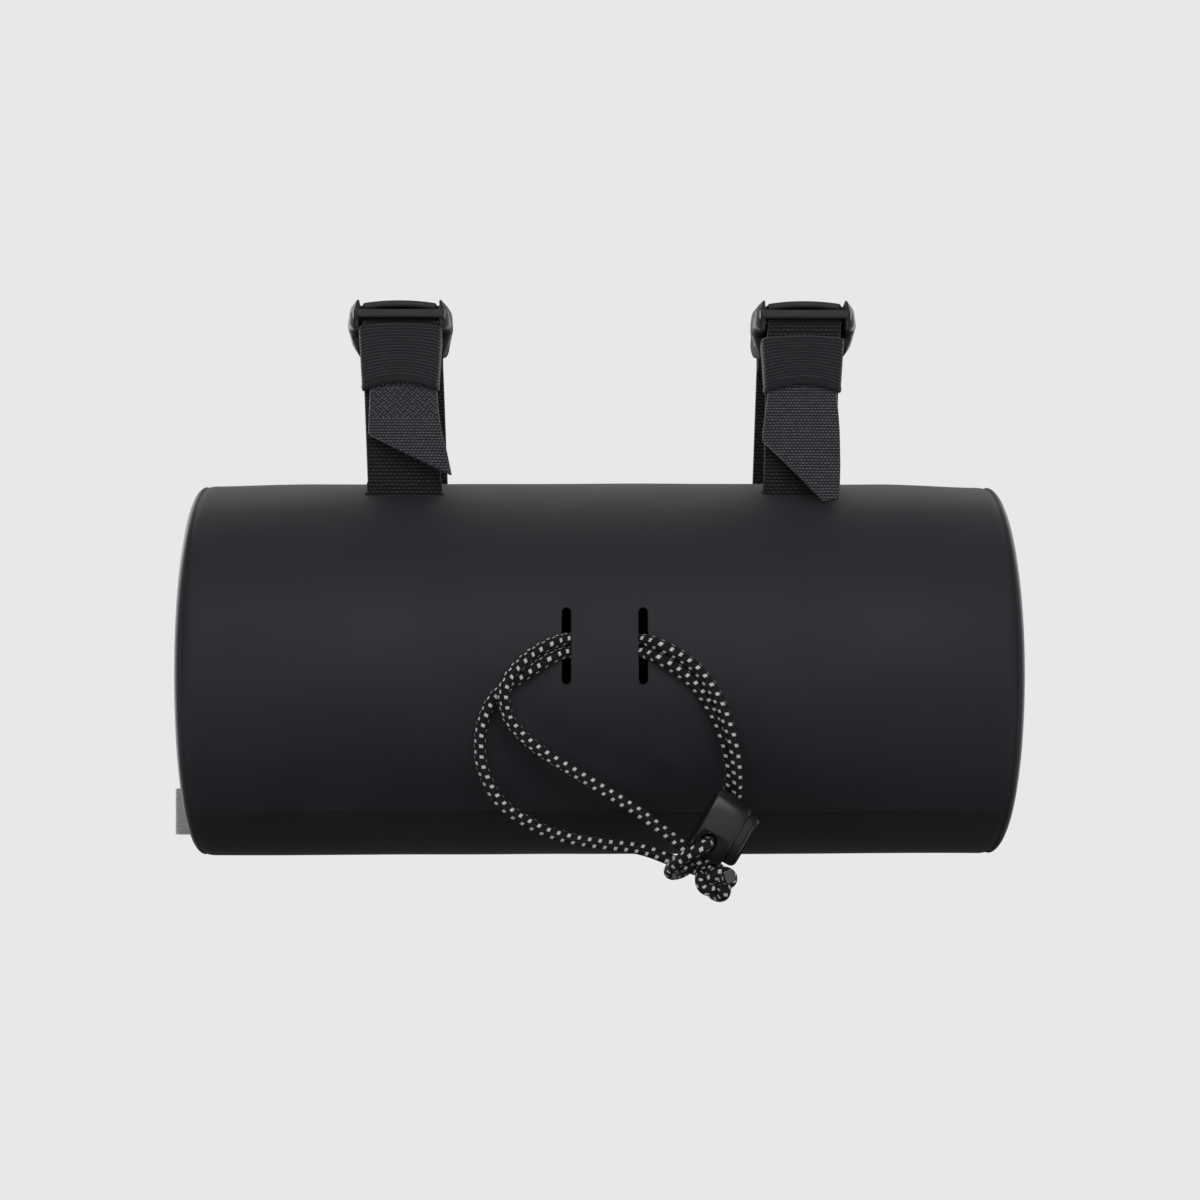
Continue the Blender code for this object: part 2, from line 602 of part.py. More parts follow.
def build_buckle(row):
    """Make one moulded buckle: two rails, lip, thumb plate, grip bar and rear bar."""
    at = buckle_places()
    inner = WEB_WIDTH / 2 + RAIL_CLEARANCE
    place = Matrix.Translation((row["buckle_x"], 0, 0))
    side_name = row["side"]
    outline = [(at["front"] + along * at["length"], at["base"] + up * BUCKLE_HEIGHT)
               for along, up in RAIL_OUTLINE]
    flare = [dict(zip(FLARE_COLUMNS, values)) for values in RAIL_FLARE]
    pieces = []
    for side in (-1, 1):
        bm = bmesh.new()
        face = bm.faces.new([bm.verts.new((side * inner, y, z)) for y, z in outline])
        grown = bmesh.ops.extrude_face_region(bm, geom=[face])
        moved = [g for g in grown["geom"] if isinstance(g, bmesh.types.BMVert)]
        bmesh.ops.translate(bm, vec=(side * RAIL_WIDTH, 0, 0), verts=moved)
        bmesh.ops.recalc_face_normals(bm, faces=bm.faces)
        rim = [e for e in bm.edges if all(v in moved for v in e.verts)]
        bmesh.ops.bevel(bm, geom=rim, offset=RAIL_ROUND, segments=3, affect="EDGES", profile=0.5)
        for vert in bm.verts:
            share = np.interp((vert.co.y - at["front"]) / at["length"],
                              [at_share["along"] for at_share in flare],
                              [at_share["width"] for at_share in flare])
            vert.co.x = side * inner + (vert.co.x - side * inner) * float(share)
        pieces.append(bm)
    buckle = add_object(f"buckle_{side_name}", pieces[0], "buckle_plastic", matrix=place)
    boolean(buckle, add_object(f"rail_{side_name}", pieces[1], None, matrix=place), "UNION")

    reach = inner + RAIL_WIDTH * flare[0]["width"] / 2
    mouth = at["grip"][1] + GRIP_BAR_RADIUS + GAP + WEB_THICK + GAP
    lip = bowed_bar(reach, at["front"] - GAP, at["front"] + LIP_DEPTH, mouth,
                    mouth + LIP_HEIGHT, 0)
    top = at["base"] + BUCKLE_HEIGHT
    plate_front = at["front"] + LIP_DEPTH + 2 * GAP
    plate = bowed_bar(inner - THUMB_NOTCH, plate_front, plate_front + THUMB_NOTCH_LENGTH + GAP,
                      top - THUMB_THICK, top, THUMB_BOW)
    root = bowed_bar(reach, plate_front + THUMB_NOTCH_LENGTH,
                     plate_front + THUMB_LENGTH, top - THUMB_THICK - GAP, top - GAP, THUMB_BOW)
    for name, bm in (("lip", lip), ("thumb_plate", plate), ("thumb_root", root)):
        boolean(buckle, add_object(f"{name}_{side_name}", bm, None, matrix=place), "UNION")
    for name, spot, radius in (("grip", at["grip"], GRIP_BAR_RADIUS),
                               ("rear", at["rear"], REAR_BAR_RADIUS)):
        turn = Matrix.Translation((row["buckle_x"], *spot)) @ Matrix.Rotation(math.pi / 2, 4, "Y")
        bar = rod(f"{name}_bar_{side_name}", radius, 2 * reach, BAR_FACETS, turn)
        boolean(buckle, bar, "UNION")


def build_keeper(row):
    """Make one elastic loop round a strap's front leg and tail."""
    at = buckle_places()
    off = WEB_THICK / 2 + KEEPER_CLEARANCE + KEEPER_WALL / 2
    front, back = at["tail"] - off, -at["leg"] + off
    half = WEB_WIDTH / 2 + KEEPER_CLEARANCE + KEEPER_WALL / 2
    ring = []
    for y, other, side in ((front, back, 1), (back, front, -1)):
        for step in range(KEEPER_FACETS + 1):
            share = 2 * step / KEEPER_FACETS - 1
            ring.append((side * share * (half - KEEPER_CORNER), y))
        ring += [(side * half, y + side * KEEPER_CORNER), (side * half, (front + back) / 2),
                 (side * half, other - side * KEEPER_CORNER)]
    bm = bmesh.new()
    rows = []
    for x, y in ring:
        rear_share = min(1.0, max(0.0, (y - front) / (back - front)))
        top = row["keeper_top"] + (KEEPER_BACK_TOP - row["keeper_top"]) * rear_share
        bottom = row["keeper_bottom"] + KEEPER_ARCH * (1 - (x / half) ** 2)
        rows.append((bm.verts.new((row["keeper_x"] + x, y, bottom)),
                     bm.verts.new((row["keeper_x"] + x, y, top))))
    for (a, b), (c, d) in zip(rows, rows[1:] + rows[:1]):
        bm.faces.new((a, c, d, b))
    keeper = add_object(f"keeper_{row['side']}", bm, "elastic")
    solidify(keeper, KEEPER_WALL)


def build_side_tab():
    """Make the small folded tab that stands out at the bottom of the left end."""
    cap_face = PANEL_HALF + GAP + CAP_CORNER_OUT + CAP_DOME / 2 + CAP_WALL / 2
    seat = BAG_OFFSET_X - cap_face - GAP
    end = seat - TAB_REACH
    half = TAB_LOOP / 2
    corners = [(seat, TAB_Y - half, 0), (end, TAB_Y - half, half * 0.98),
               (end, TAB_Y + half, half * 0.98), (seat, TAB_Y + half, 0)]
    bm = bmesh.new()
    rows = []
    for x, y in round_corners(corners):
        rows.append([bm.verts.new((x, y, -AXIS_DROP - TAB_BELOW_AXIS + s * TAB_WIDTH / 2))
                     for s in (-1, 1)])
    for (a, b), (c, d) in zip(rows, rows[1:]):
        bm.faces.new((a, b, d, c))
    tab = add_object("side_tab", bm, "tab_cloth")
    solidify(tab, TAB_THICK)


def smooth_route(points):
    """Return closely spaced points of a smooth curve through the route's points."""
    ends = [points[0] * 2 - points[1], *points, points[-1] * 2 - points[-2]]
    curve = []
    for p0, p1, p2, p3 in zip(ends, ends[1:], ends[2:], ends[3:]):
        pieces = max(4, round((p2 - p1).length / ROUTE_STEP))
        for step in range(pieces):
            t = step / pieces
            curve.append(0.5 * ((2 * p1) + (p2 - p0) * t + (2 * p0 - 5 * p1 + 4 * p2 - p3) * t ** 2
                                + (3 * p1 - p0 - 3 * p2 + p3) * t ** 3))
    curve.append(points[-1])
    return curve


def thin_route(curve, longest, turn_step):
    """Keep a point of a curve wherever it has turned or run far enough."""
    kept = [curve[0]]
    run = turned_by = 0.0
    for before, here, after in zip(curve, curve[1:], curve[2:]):
        run += (here - before).length
        turned_by += (here - before).angle(after - here)
        if run >= longest or turned_by >= turn_step:
            kept.append(here)
            run = turned_by = 0.0
    kept.append(curve[-1])
    return kept


def tube(name, points, radius, material):
    """Make a tube with filled caps along a list of points, as a mesh."""
    curve = bpy.data.curves.new(name, "CURVE")
    curve.dimensions = "3D"
    curve.bevel_depth = radius
    curve.bevel_resolution = 2
    curve.use_fill_caps = True
    spline = curve.splines.new("POLY")
    spline.points.add(len(points) - 1)
    for spot, point in zip(spline.points, points):
        spot.co = (*point, 1)
    drawn = bpy.data.objects.new(name, curve)
    PARTS.objects.link(drawn)
    bpy.context.view_layer.update()
    evaluated = drawn.evaluated_get(bpy.context.evaluated_depsgraph_get())
    mesh = bpy.data.meshes.new_from_object(evaluated)
    bm = bmesh.new()
    bm.from_mesh(mesh)
    bmesh.ops.remove_doubles(bm, verts=bm.verts, dist=0.000001)
    bpy.data.objects.remove(drawn)
    return add_object(name, bm, material)


def build_cord(shell):
    """Make the shock cord and cut its way through the shell beside the slots."""
    route = [Vector(point) * MM for point in CORD_ROUTE]
    curve = smooth_route(route)
    points = thin_route(curve, CORD_LONGEST_STEP, CORD_TURN_STEP)
    tube("shock_cord", points, CORD_DIAMETER / 2, "cord_cloth")
    reach = CORD_SLOT_X + 2 * CORD_SLOT_WIDTH
    inside = [index for index, point in enumerate(points)
              if abs(point.x) < reach and point.z > -AXIS_DROP]
    runs = []
    for index in inside:
        if runs and index == runs[-1][-1] + 1:
            runs[-1].append(index)
        else:
            runs.append([index])
    for number, run in enumerate(runs):
        first, last = max(run[0] - 1, 0), min(run[-1] + 2, len(points))
        boolean(shell, tube(f"cord_way_{number}", points[first:last],
                            CORD_DIAMETER / 2 + CORD_CLEARANCE, None))


def lock_frame():
    """Return the lock's axes: its own X along the axis, Y through it, Z up its length."""
    return (Matrix.Translation(LOCK_CENTRE)
            @ Matrix.Rotation(math.radians(LOCK_TILT), 4, "Y"))


def lock_hole(name):
    """Make a cutter for the hole that the cord runs through."""
    place = (lock_frame() @ Matrix.Translation((LOCK_HOLE_AXIAL, 0, -LOCK_HOLE_LONG))
             @ Matrix.Rotation(math.pi / 2, 4, "X"))
    return rod(name, LOCK_HOLE_DIAMETER / 2, 2 * LOCK_DEPTH, LOCK_HOLE_FACETS, place)


def build_lock():
    """Make the cord lock: an oval sleeve and the button that slides in it."""
    body = add_object("cord_lock_body",
                      rounded_block((LOCK_AXIAL, LOCK_DEPTH, LOCK_LONG), LOCK_CORNER, 0, 5),
                      "lock_plastic", matrix=lock_frame())
    room = rounded_block((LOCK_AXIAL, LOCK_DEPTH - 2 * LOCK_WALL, LOCK_LONG - 2 * LOCK_WALL),
                         LOCK_CORNER - LOCK_WALL, 0, 4)
    boolean(body, add_object("lock_room", room, None,
                             matrix=lock_frame() @ Matrix.Translation((LOCK_FLOOR, 0, 0))))
    boolean(body, lock_hole("body_hole"))
    slim = 2 * (LOCK_WALL + GAP)
    inner_end = -LOCK_AXIAL / 2 + LOCK_FLOOR + GAP
    outer_end = LOCK_AXIAL / 2 + BUTTON_REACH
    block = rounded_block((outer_end - inner_end, LOCK_DEPTH - slim, LOCK_LONG - slim),
                          LOCK_CORNER - LOCK_WALL - GAP, 0, 4)
    far = [e for e in block.edges
           if all(v.co.x > (outer_end - inner_end) / 2 - GAP / 10 for v in e.verts)]
    bmesh.ops.bevel(block, geom=far, offset=BUTTON_END_ROUND, segments=3, affect="EDGES", profile=0.5)
    button = add_object("cord_lock_button", block, "lock_plastic",
                        matrix=lock_frame()
                        @ Matrix.Translation(((outer_end + inner_end) / 2, 0, 0)))
    boolean(button, lock_hole("button_hole"))


def build_knot():
    """Make the stopper knot: a ball with the grooves of its turns and a cut cord end."""
    bm = bmesh.new()
    bmesh.ops.create_uvsphere(bm, u_segments=KNOT_FACETS[0], v_segments=KNOT_FACETS[1],
                              radius=KNOT_RADIUS)
    for vert in bm.verts:
        turn = math.atan2(vert.co.z, vert.co.x)
        tip = math.asin(max(-1.0, min(1.0, vert.co.y / KNOT_RADIUS)))
        wave = math.cos(KNOT_TURNS * turn + KNOT_TWIST * tip) * math.cos(tip)
        vert.co *= 1 - KNOT_LOBE * (1 - wave)
    knot = add_object("cord_knot", bm, "cord_cloth", matrix=Matrix.Translation(KNOT_CENTRE))
    out = Vector(KNOT_END_AT)
    place = (Matrix.Translation(Vector(KNOT_CENTRE) + out - out.normalized() * CORD_DIAMETER)
             @ out.to_track_quat("Z", "Y").to_matrix().to_4x4())
    stub = rod("cord_end", CORD_DIAMETER / 2, 2 * CORD_DIAMETER, BAR_FACETS, place)
    boolean(knot, stub, "UNION")


clear_scene()
PARTS = new_collection("handlebar_bag")
CUTTERS = new_collection("cutters")

shell_panel = build_panels()
for end in (-1, 1):
    build_cap(end)
build_zip()
build_side_tab()
for strap_row in (dict(zip(STRAP_COLUMNS, values)) for values in STRAP_TABLE):
    build_strap(strap_row)
    build_buckle(strap_row)
    build_keeper(strap_row)
build_cord(shell_panel)
build_lock()
build_knot()
bpy.context.view_layer.update()
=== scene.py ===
"""The handlebar bag dressed for its picture.

Every piece is in metres in the frame of the solids: the origin is the centre of the
handlebar, X runs along it, -Y is the front of the bag and Z is up.
"""

import logging
import math
from dataclasses import dataclass, field
from enum import Enum
from typing import Callable, Sequence

import bpy
from mathutils import Matrix, Vector, noise


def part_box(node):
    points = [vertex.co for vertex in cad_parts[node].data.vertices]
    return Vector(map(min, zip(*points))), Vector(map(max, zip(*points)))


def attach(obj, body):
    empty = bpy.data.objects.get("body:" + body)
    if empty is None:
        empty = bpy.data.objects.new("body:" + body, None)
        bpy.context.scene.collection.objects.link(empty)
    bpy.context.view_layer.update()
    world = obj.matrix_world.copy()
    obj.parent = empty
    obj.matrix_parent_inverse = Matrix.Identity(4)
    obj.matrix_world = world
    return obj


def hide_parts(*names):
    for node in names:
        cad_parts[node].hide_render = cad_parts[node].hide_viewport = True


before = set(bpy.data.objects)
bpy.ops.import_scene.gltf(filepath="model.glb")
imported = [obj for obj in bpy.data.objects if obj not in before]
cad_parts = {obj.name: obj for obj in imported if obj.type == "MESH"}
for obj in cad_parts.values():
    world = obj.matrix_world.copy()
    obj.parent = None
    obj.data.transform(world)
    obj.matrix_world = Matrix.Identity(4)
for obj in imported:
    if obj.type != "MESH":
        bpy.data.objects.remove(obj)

MM = 0.001
WELD = 0.005 * MM
LOG = logging.getLogger("handlebar_bag")

# The shock cord's route in mm, as it lies in the solids: knot, left slot, right slot,
# lock, bight, right slot, left slot, knot.
CORD_ROUTE = (
    (24.8, -54.1, -114.4), (20.6, -54.1, -110.7), (14.5, -53.9, -105.9), (7.5, -53.6, -100.7),
    (-1.3, -53.4, -95.1), (-9.9, -53.3, -89.8), (-18.2, -53.5, -84.3), (-24.0, -54.4, -78.0),
    (-25.5, -55.4, -71.6), (-24.4, -55.4, -67.6), (-21.7, -54.3, -64.1), (-18.2, -52.7, -61.2),
    (-14.2, -51.8, -59.0), (-10.4, -48.9, -57.8), (-6.0, -46.1, -57.6), (0.0, -45.9, -57.6),
    (6.0, -46.1, -57.7), (10.4, -48.9, -58.0), (14.2, -51.8, -59.3),
    (18.7, -52.2, -61.7), (22.9, -53.0, -64.9), (26.2, -53.7, -69.0), (28.9, -54.1, -73.7),
    (30.7, -54.1, -78.5), (32.2, -53.9, -83.6), (33.0, -53.1, -88.4), (33.4, -51.4, -93.5),
    (33.2, -48.7, -98.8), (31.8, -47.9, -103.6), (29.0, -46.9, -107.4), (26.4, -47.3, -108.8),
    (25.6, -50.2, -108.5), (25.6, -54.5, -108.5), (25.6, -58.6, -108.5),
    (24.6, -61.3, -108.9), (22.0, -61.8, -110.3), (19.0, -60.2, -112.2), (17.0, -57.6, -114.2),
    (16.2, -54.0, -116.0), (17.1, -50.2, -117.2), (19.7, -46.9, -117.0), (22.6, -45.0, -115.2),
    (25.6, -44.0, -111.9), (28.6, -43.6, -107.0), (31.0, -45.0, -100.2), (32.0, -48.1, -93.2),
    (31.5, -49.8, -88.0), (30.1, -51.0, -82.7), (28.4, -51.4, -78.1), (25.7, -51.8, -73.3),
    (22.4, -52.3, -68.9), (18.2, -52.4, -65.4),
    (14.0, -52.2, -62.8), (10.4, -49.4, -61.3), (6.0, -46.5, -61.0), (0.0, -46.4, -61.0),
    (-6.0, -46.5, -61.0), (-10.4, -49.4, -61.2), (-14.0, -52.2, -62.6), (-17.7, -52.3, -64.9),
    (-21.5, -52.3, -67.3), (-25.4, -52.2, -69.9), (-28.0, -52.2, -72.4), (-29.9, -52.2, -75.8),
    (-31.3, -52.2, -80.3), (-31.6, -52.1, -84.6), (-31.3, -52.0, -88.9), (-29.9, -51.9, -92.9),
    (-27.8, -51.7, -97.0), (-24.2, -51.5, -100.8), (-19.7, -51.3, -103.8), (-14.9, -51.2, -106.2),
    (-9.4, -51.1, -107.9), (-3.8, -51.0, -109.0), (1.5, -51.0, -109.7), (6.6, -51.0, -110.3),
    (10.9, -51.0, -111.3), (15.4, -51.0, -113.0), (19.2, -50.9, -114.5), (23.2, -51.7, -116.0),
)


class Side(Enum):
    """The two ends of the bag, as the camera sees them."""

    LEFT = "left"
    RIGHT = "right"

    @property
    def sign(self) -> int:
        """Return -1 for the left and 1 for the right."""
        return -1 if self is Side.LEFT else 1


# Colour and shader nodes


def linear_colour(hex_colour: str) -> tuple[float, float, float, float]:
    """Turn an sRGB hex colour into linear values.

    Args:
        hex_colour: six hex digits.

    Returns:
        Red, green, blue and an alpha of 1.
    """
    channels = []
    for start in (0, 2, 4):
        value = int(hex_colour[start:start + 2], 16) / 255
        channels.append(value / 12.92 if value <= 0.04045 else ((value + 0.055) / 1.055) ** 2.4)
    return (channels[0], channels[1], channels[2], 1.0)


def connect(tree: bpy.types.NodeTree, node: bpy.types.Node, links: dict) -> None:
    """Feed a node's inputs.

    Args:
        tree: the material's node tree.
        node: the node.
        links: output sockets, or nodes for their first output, by input name or number.
    """
    for key, source in links.items():
        socket = source.outputs[0] if isinstance(source, bpy.types.Node) else source
        tree.links.new(socket, node.inputs[key])


def add_node(tree: bpy.types.NodeTree, kind: str, settings: dict | None = None,
             links: dict | None = None) -> bpy.types.Node:
    """Add a shader node with its settings and links.

    Args:
        tree: the material's node tree.
        kind: the node's type without the words ShaderNode.
        settings: values by input name or number, or by property name, and a colour ramp's two
            stops, each a place and a hex colour, under the name stops.
        links: what feeds its inputs, as connect takes it.

    Returns:
        The new node.
    """
    node = tree.nodes.new("ShaderNode" + kind)
    for key, value in (settings or {}).items():
        if key == "stops":
            for stop, (place, colour) in zip(node.color_ramp.elements, value):
                stop.position, stop.color = place, linear_colour(colour)
        elif isinstance(key, int) or key in node.inputs:
            node.inputs[key].default_value = value
        else:
            setattr(node, key, value)
    connect(tree, node, links or {})
    return node


def start_material(name: str, roughness: float, colour: str, **shader_values: float
                   ) -> tuple[bpy.types.Material, bpy.types.NodeTree, bpy.types.Node]:
    """Start a material from its Principled shader.

    Args:
        name: the material's plain name.
        roughness: from 0 to 1.
        colour: sRGB hex of its base.
        shader_values: other inputs of the shader, with spaces written as underscores.

    Returns:
        The material, its node tree and its shader.
    """
    material = bpy.data.materials.new(name)
    material.use_nodes = True
    tree = material.node_tree
    shader = tree.nodes["Principled BSDF"]
    shader.inputs["Base Color"].default_value = linear_colour(colour)
    shader.inputs["Roughness"].default_value = roughness
    for key, value in shader_values.items():
        shader.inputs[key.replace("_", " ")].default_value = value
    material.diffuse_color = linear_colour(colour)
    return material, tree, shader


@dataclass(frozen=True)
class CoatedCloth:
    """Nylon cloth with a rubbery coating: matte, even, with a faint dust of light specks.

    The coating fills the weave, so only a fine pebble shows, about 0.35 mm apart, and slow
    cloudy changes of tone a few centimetres wide.
    """

    name: str
    colour: str
    cloudy: str
    speck: str = "6A666A"
    roughness: float = 0.6
    pebble_mm: float = 0.35
    cloud_mm: float = 38.0
    speck_mm: float = 2.4
    patch_mm: float = 9.0
    pebble_depth_mm: float = 0.05

    def build(self) -> bpy.types.Material:
        """Make the finish's shader nodes.

        Returns:
            The finished material.
        """
        material, tree, shader = start_material(self.name, self.roughness, self.colour,
                                                Sheen_Weight=0.12, Sheen_Roughness=0.5,
                                                Specular_IOR_Level=0.42)
        place = add_node(tree, "TexCoord").outputs["Object"]
        cloud = add_node(tree, "TexNoise", {"Scale": 1 / (self.cloud_mm * MM), "Detail": 3.0},
                         {"Vector": place})
        tone = add_node(tree, "ValToRGB", {"stops": ((0.3, self.colour), (0.72, self.cloudy))},
                        {"Fac": cloud})
        dust = add_node(tree, "TexVoronoi", {"Scale": 1 / (self.speck_mm * MM)}, {"Vector": place})
        where = add_node(tree, "MapRange", {"From Min": 0.06, "From Max": 0.03, "To Max": 0.5},
                         {"Value": dust})
        rare = add_node(tree, "TexNoise", {"Scale": 1 / (self.patch_mm * MM)}, {"Vector": place})
        rare_mask = add_node(tree, "MapRange", {"From Min": 0.56, "From Max": 0.66},
                             {"Value": rare})
        mask = add_node(tree, "Math", {"operation": "MULTIPLY"},
                        {0: where, 1: rare_mask})
        colour = add_node(tree, "Mix", {"data_type": "RGBA", 7: linear_colour(self.speck)},
                          {0: mask, 6: tone})
        pebble = add_node(tree, "TexNoise", {"Scale": 1 / (self.pebble_mm * MM), "Detail": 2.0},
                          {"Vector": place})
        dull = add_node(tree, "MapRange", {"From Min": 0.3, "From Max": 0.7,
                                           "To Min": self.roughness - 0.06,
                                           "To Max": self.roughness + 0.08},
                        {"Value": cloud})
        bump = add_node(tree, "Bump", {"Strength": 0.12, "Distance": self.pebble_depth_mm * MM},
                        {"Height": pebble})
        connect(tree, shader, {"Base Color": colour.outputs[2], "Roughness": dull, "Normal": bump})
        return material


@dataclass(frozen=True)
class WovenBand:
    """Flat woven nylon: rows of short yarn floats, each row half a float from the next.

    The yarn is dull; it is painted darker in the gaps between floats as painted shade, and has a
    painted highlight dot on the crown of each float. The piece's UV map runs in millimetres,
    across the band first, so the rows lie across its length.
    """

    name: str
    # painted shade: the colour of the gaps between floats
    dark: str
    yarn: str
    # painted highlight: the light colour on the crown of each float
    dot: str
    row_mm: float
    float_mm: float
    chevron_mm: float = 0.0
    chevron_slope: float = 0.95
    highlight_share: float = 0.5
    relief_mm: float = 0.12
    notch: float = 0.55

    def build(self) -> bpy.types.Material:
        """Make the finish's shader nodes.

        Returns:
            The finished material.
        """
        material, tree, shader = start_material(self.name, 0.82, self.yarn,
                                                Sheen_Weight=0.25, Sheen_Roughness=0.45,
                                                Specular_IOR_Level=0.3)
        weave = add_node(tree, "TexCoord").outputs["UV"]
        flat = add_node(tree, "SeparateXYZ", {}, {"Vector": weave})
        across, along = flat.outputs["X"], flat.outputs["Y"]
        wobble = add_node(tree, "TexNoise", {"Scale": 0.9, "Detail": 1.0}, {"Vector": weave})
        shift = add_node(tree, "MapRange", {"To Min": -0.12, "To Max": 0.12},
                         {"Value": wobble})
        along = add_node(tree, "Math", {"operation": "ADD"}, {0: along, 1: shift})
        if self.chevron_mm:
            zigzag = add_node(tree, "Math", {"operation": "PINGPONG", 1: self.chevron_mm},
                              {0: across})
            tall = add_node(tree, "Math", {"operation": "MULTIPLY", 1: self.chevron_slope},
                            {0: zigzag})
            along = add_node(tree, "Math", {"operation": "ADD"}, {0: along, 1: tall})
        rows = add_node(tree, "Math", {"operation": "DIVIDE", 1: self.row_mm}, {0: along})
        row = add_node(tree, "Math", {"operation": "FLOOR"}, {0: rows})
        half = add_node(tree, "Math", {"operation": "MULTIPLY", 1: 0.5}, {0: row})
        floats = add_node(tree, "Math", {"operation": "DIVIDE", 1: self.float_mm}, {0: across})
        stagger = add_node(tree, "Math", {"operation": "ADD"}, {0: floats, 1: half})
        fold = {"operation": "PINGPONG", 1: 0.5}
        near_row = add_node(tree, "Math", fold, {0: rows})
        near_float = add_node(tree, "Math", fold, {0: stagger})
        # both run from 0 at the edge of a float to 0.5 on its crown
        crown_row = add_node(tree, "Math", {"operation": "MULTIPLY", 1: 2.0}, {0: near_row})
        crown_float = add_node(tree, "Math", {"operation": "MULTIPLY", 1: 2.0},
                               {0: near_float})
        soft_row = add_node(tree, "Math", {"operation": "POWER", 1: 0.6}, {0: crown_row})
        soft_float = add_node(tree, "Math", {"operation": "POWER", 1: 0.45},
                              {0: crown_float})
        notch = add_node(tree, "MapRange", {"To Min": 1 - self.notch}, {"Value": soft_float})
        crown = add_node(tree, "Math", {"operation": "MULTIPLY"},
                         {0: soft_row, 1: notch})
        # painted shade: the yarn darkens towards the gaps between floats
        ground = add_node(tree, "ValToRGB", {"stops": ((0.25, self.dark), (0.7, self.yarn))},
                          {"Fac": crown})
        # painted highlight: a light dot on the crown of each float
        highlight_peak = add_node(tree, "MapRange",
                        {"From Min": 1.0 - self.highlight_share * 0.5, "From Max": 0.98},
                        {"Value": crown})
        uneven = add_node(tree, "TexNoise", {"Scale": 0.7, "Detail": 2.0}, {"Vector": weave})
        some = add_node(tree, "MapRange", {"From Min": 0.35, "From Max": 0.65, "To Min": 0.25},
                        {"Value": uneven})
        painted_highlights = add_node(tree, "Math", {"operation": "MULTIPLY"}, {0: highlight_peak, 1: some})
        colour = add_node(tree, "Mix", {"data_type": "RGBA", 7: linear_colour(self.dot)},
                          {0: painted_highlights, 6: ground})
        bump = add_node(tree, "Bump", {"Strength": 0.8, "Distance": self.relief_mm * MM},
                        {"Height": crown})
        connect(tree, shader, {"Base Color": colour.outputs[2], "Normal": bump})
        return material


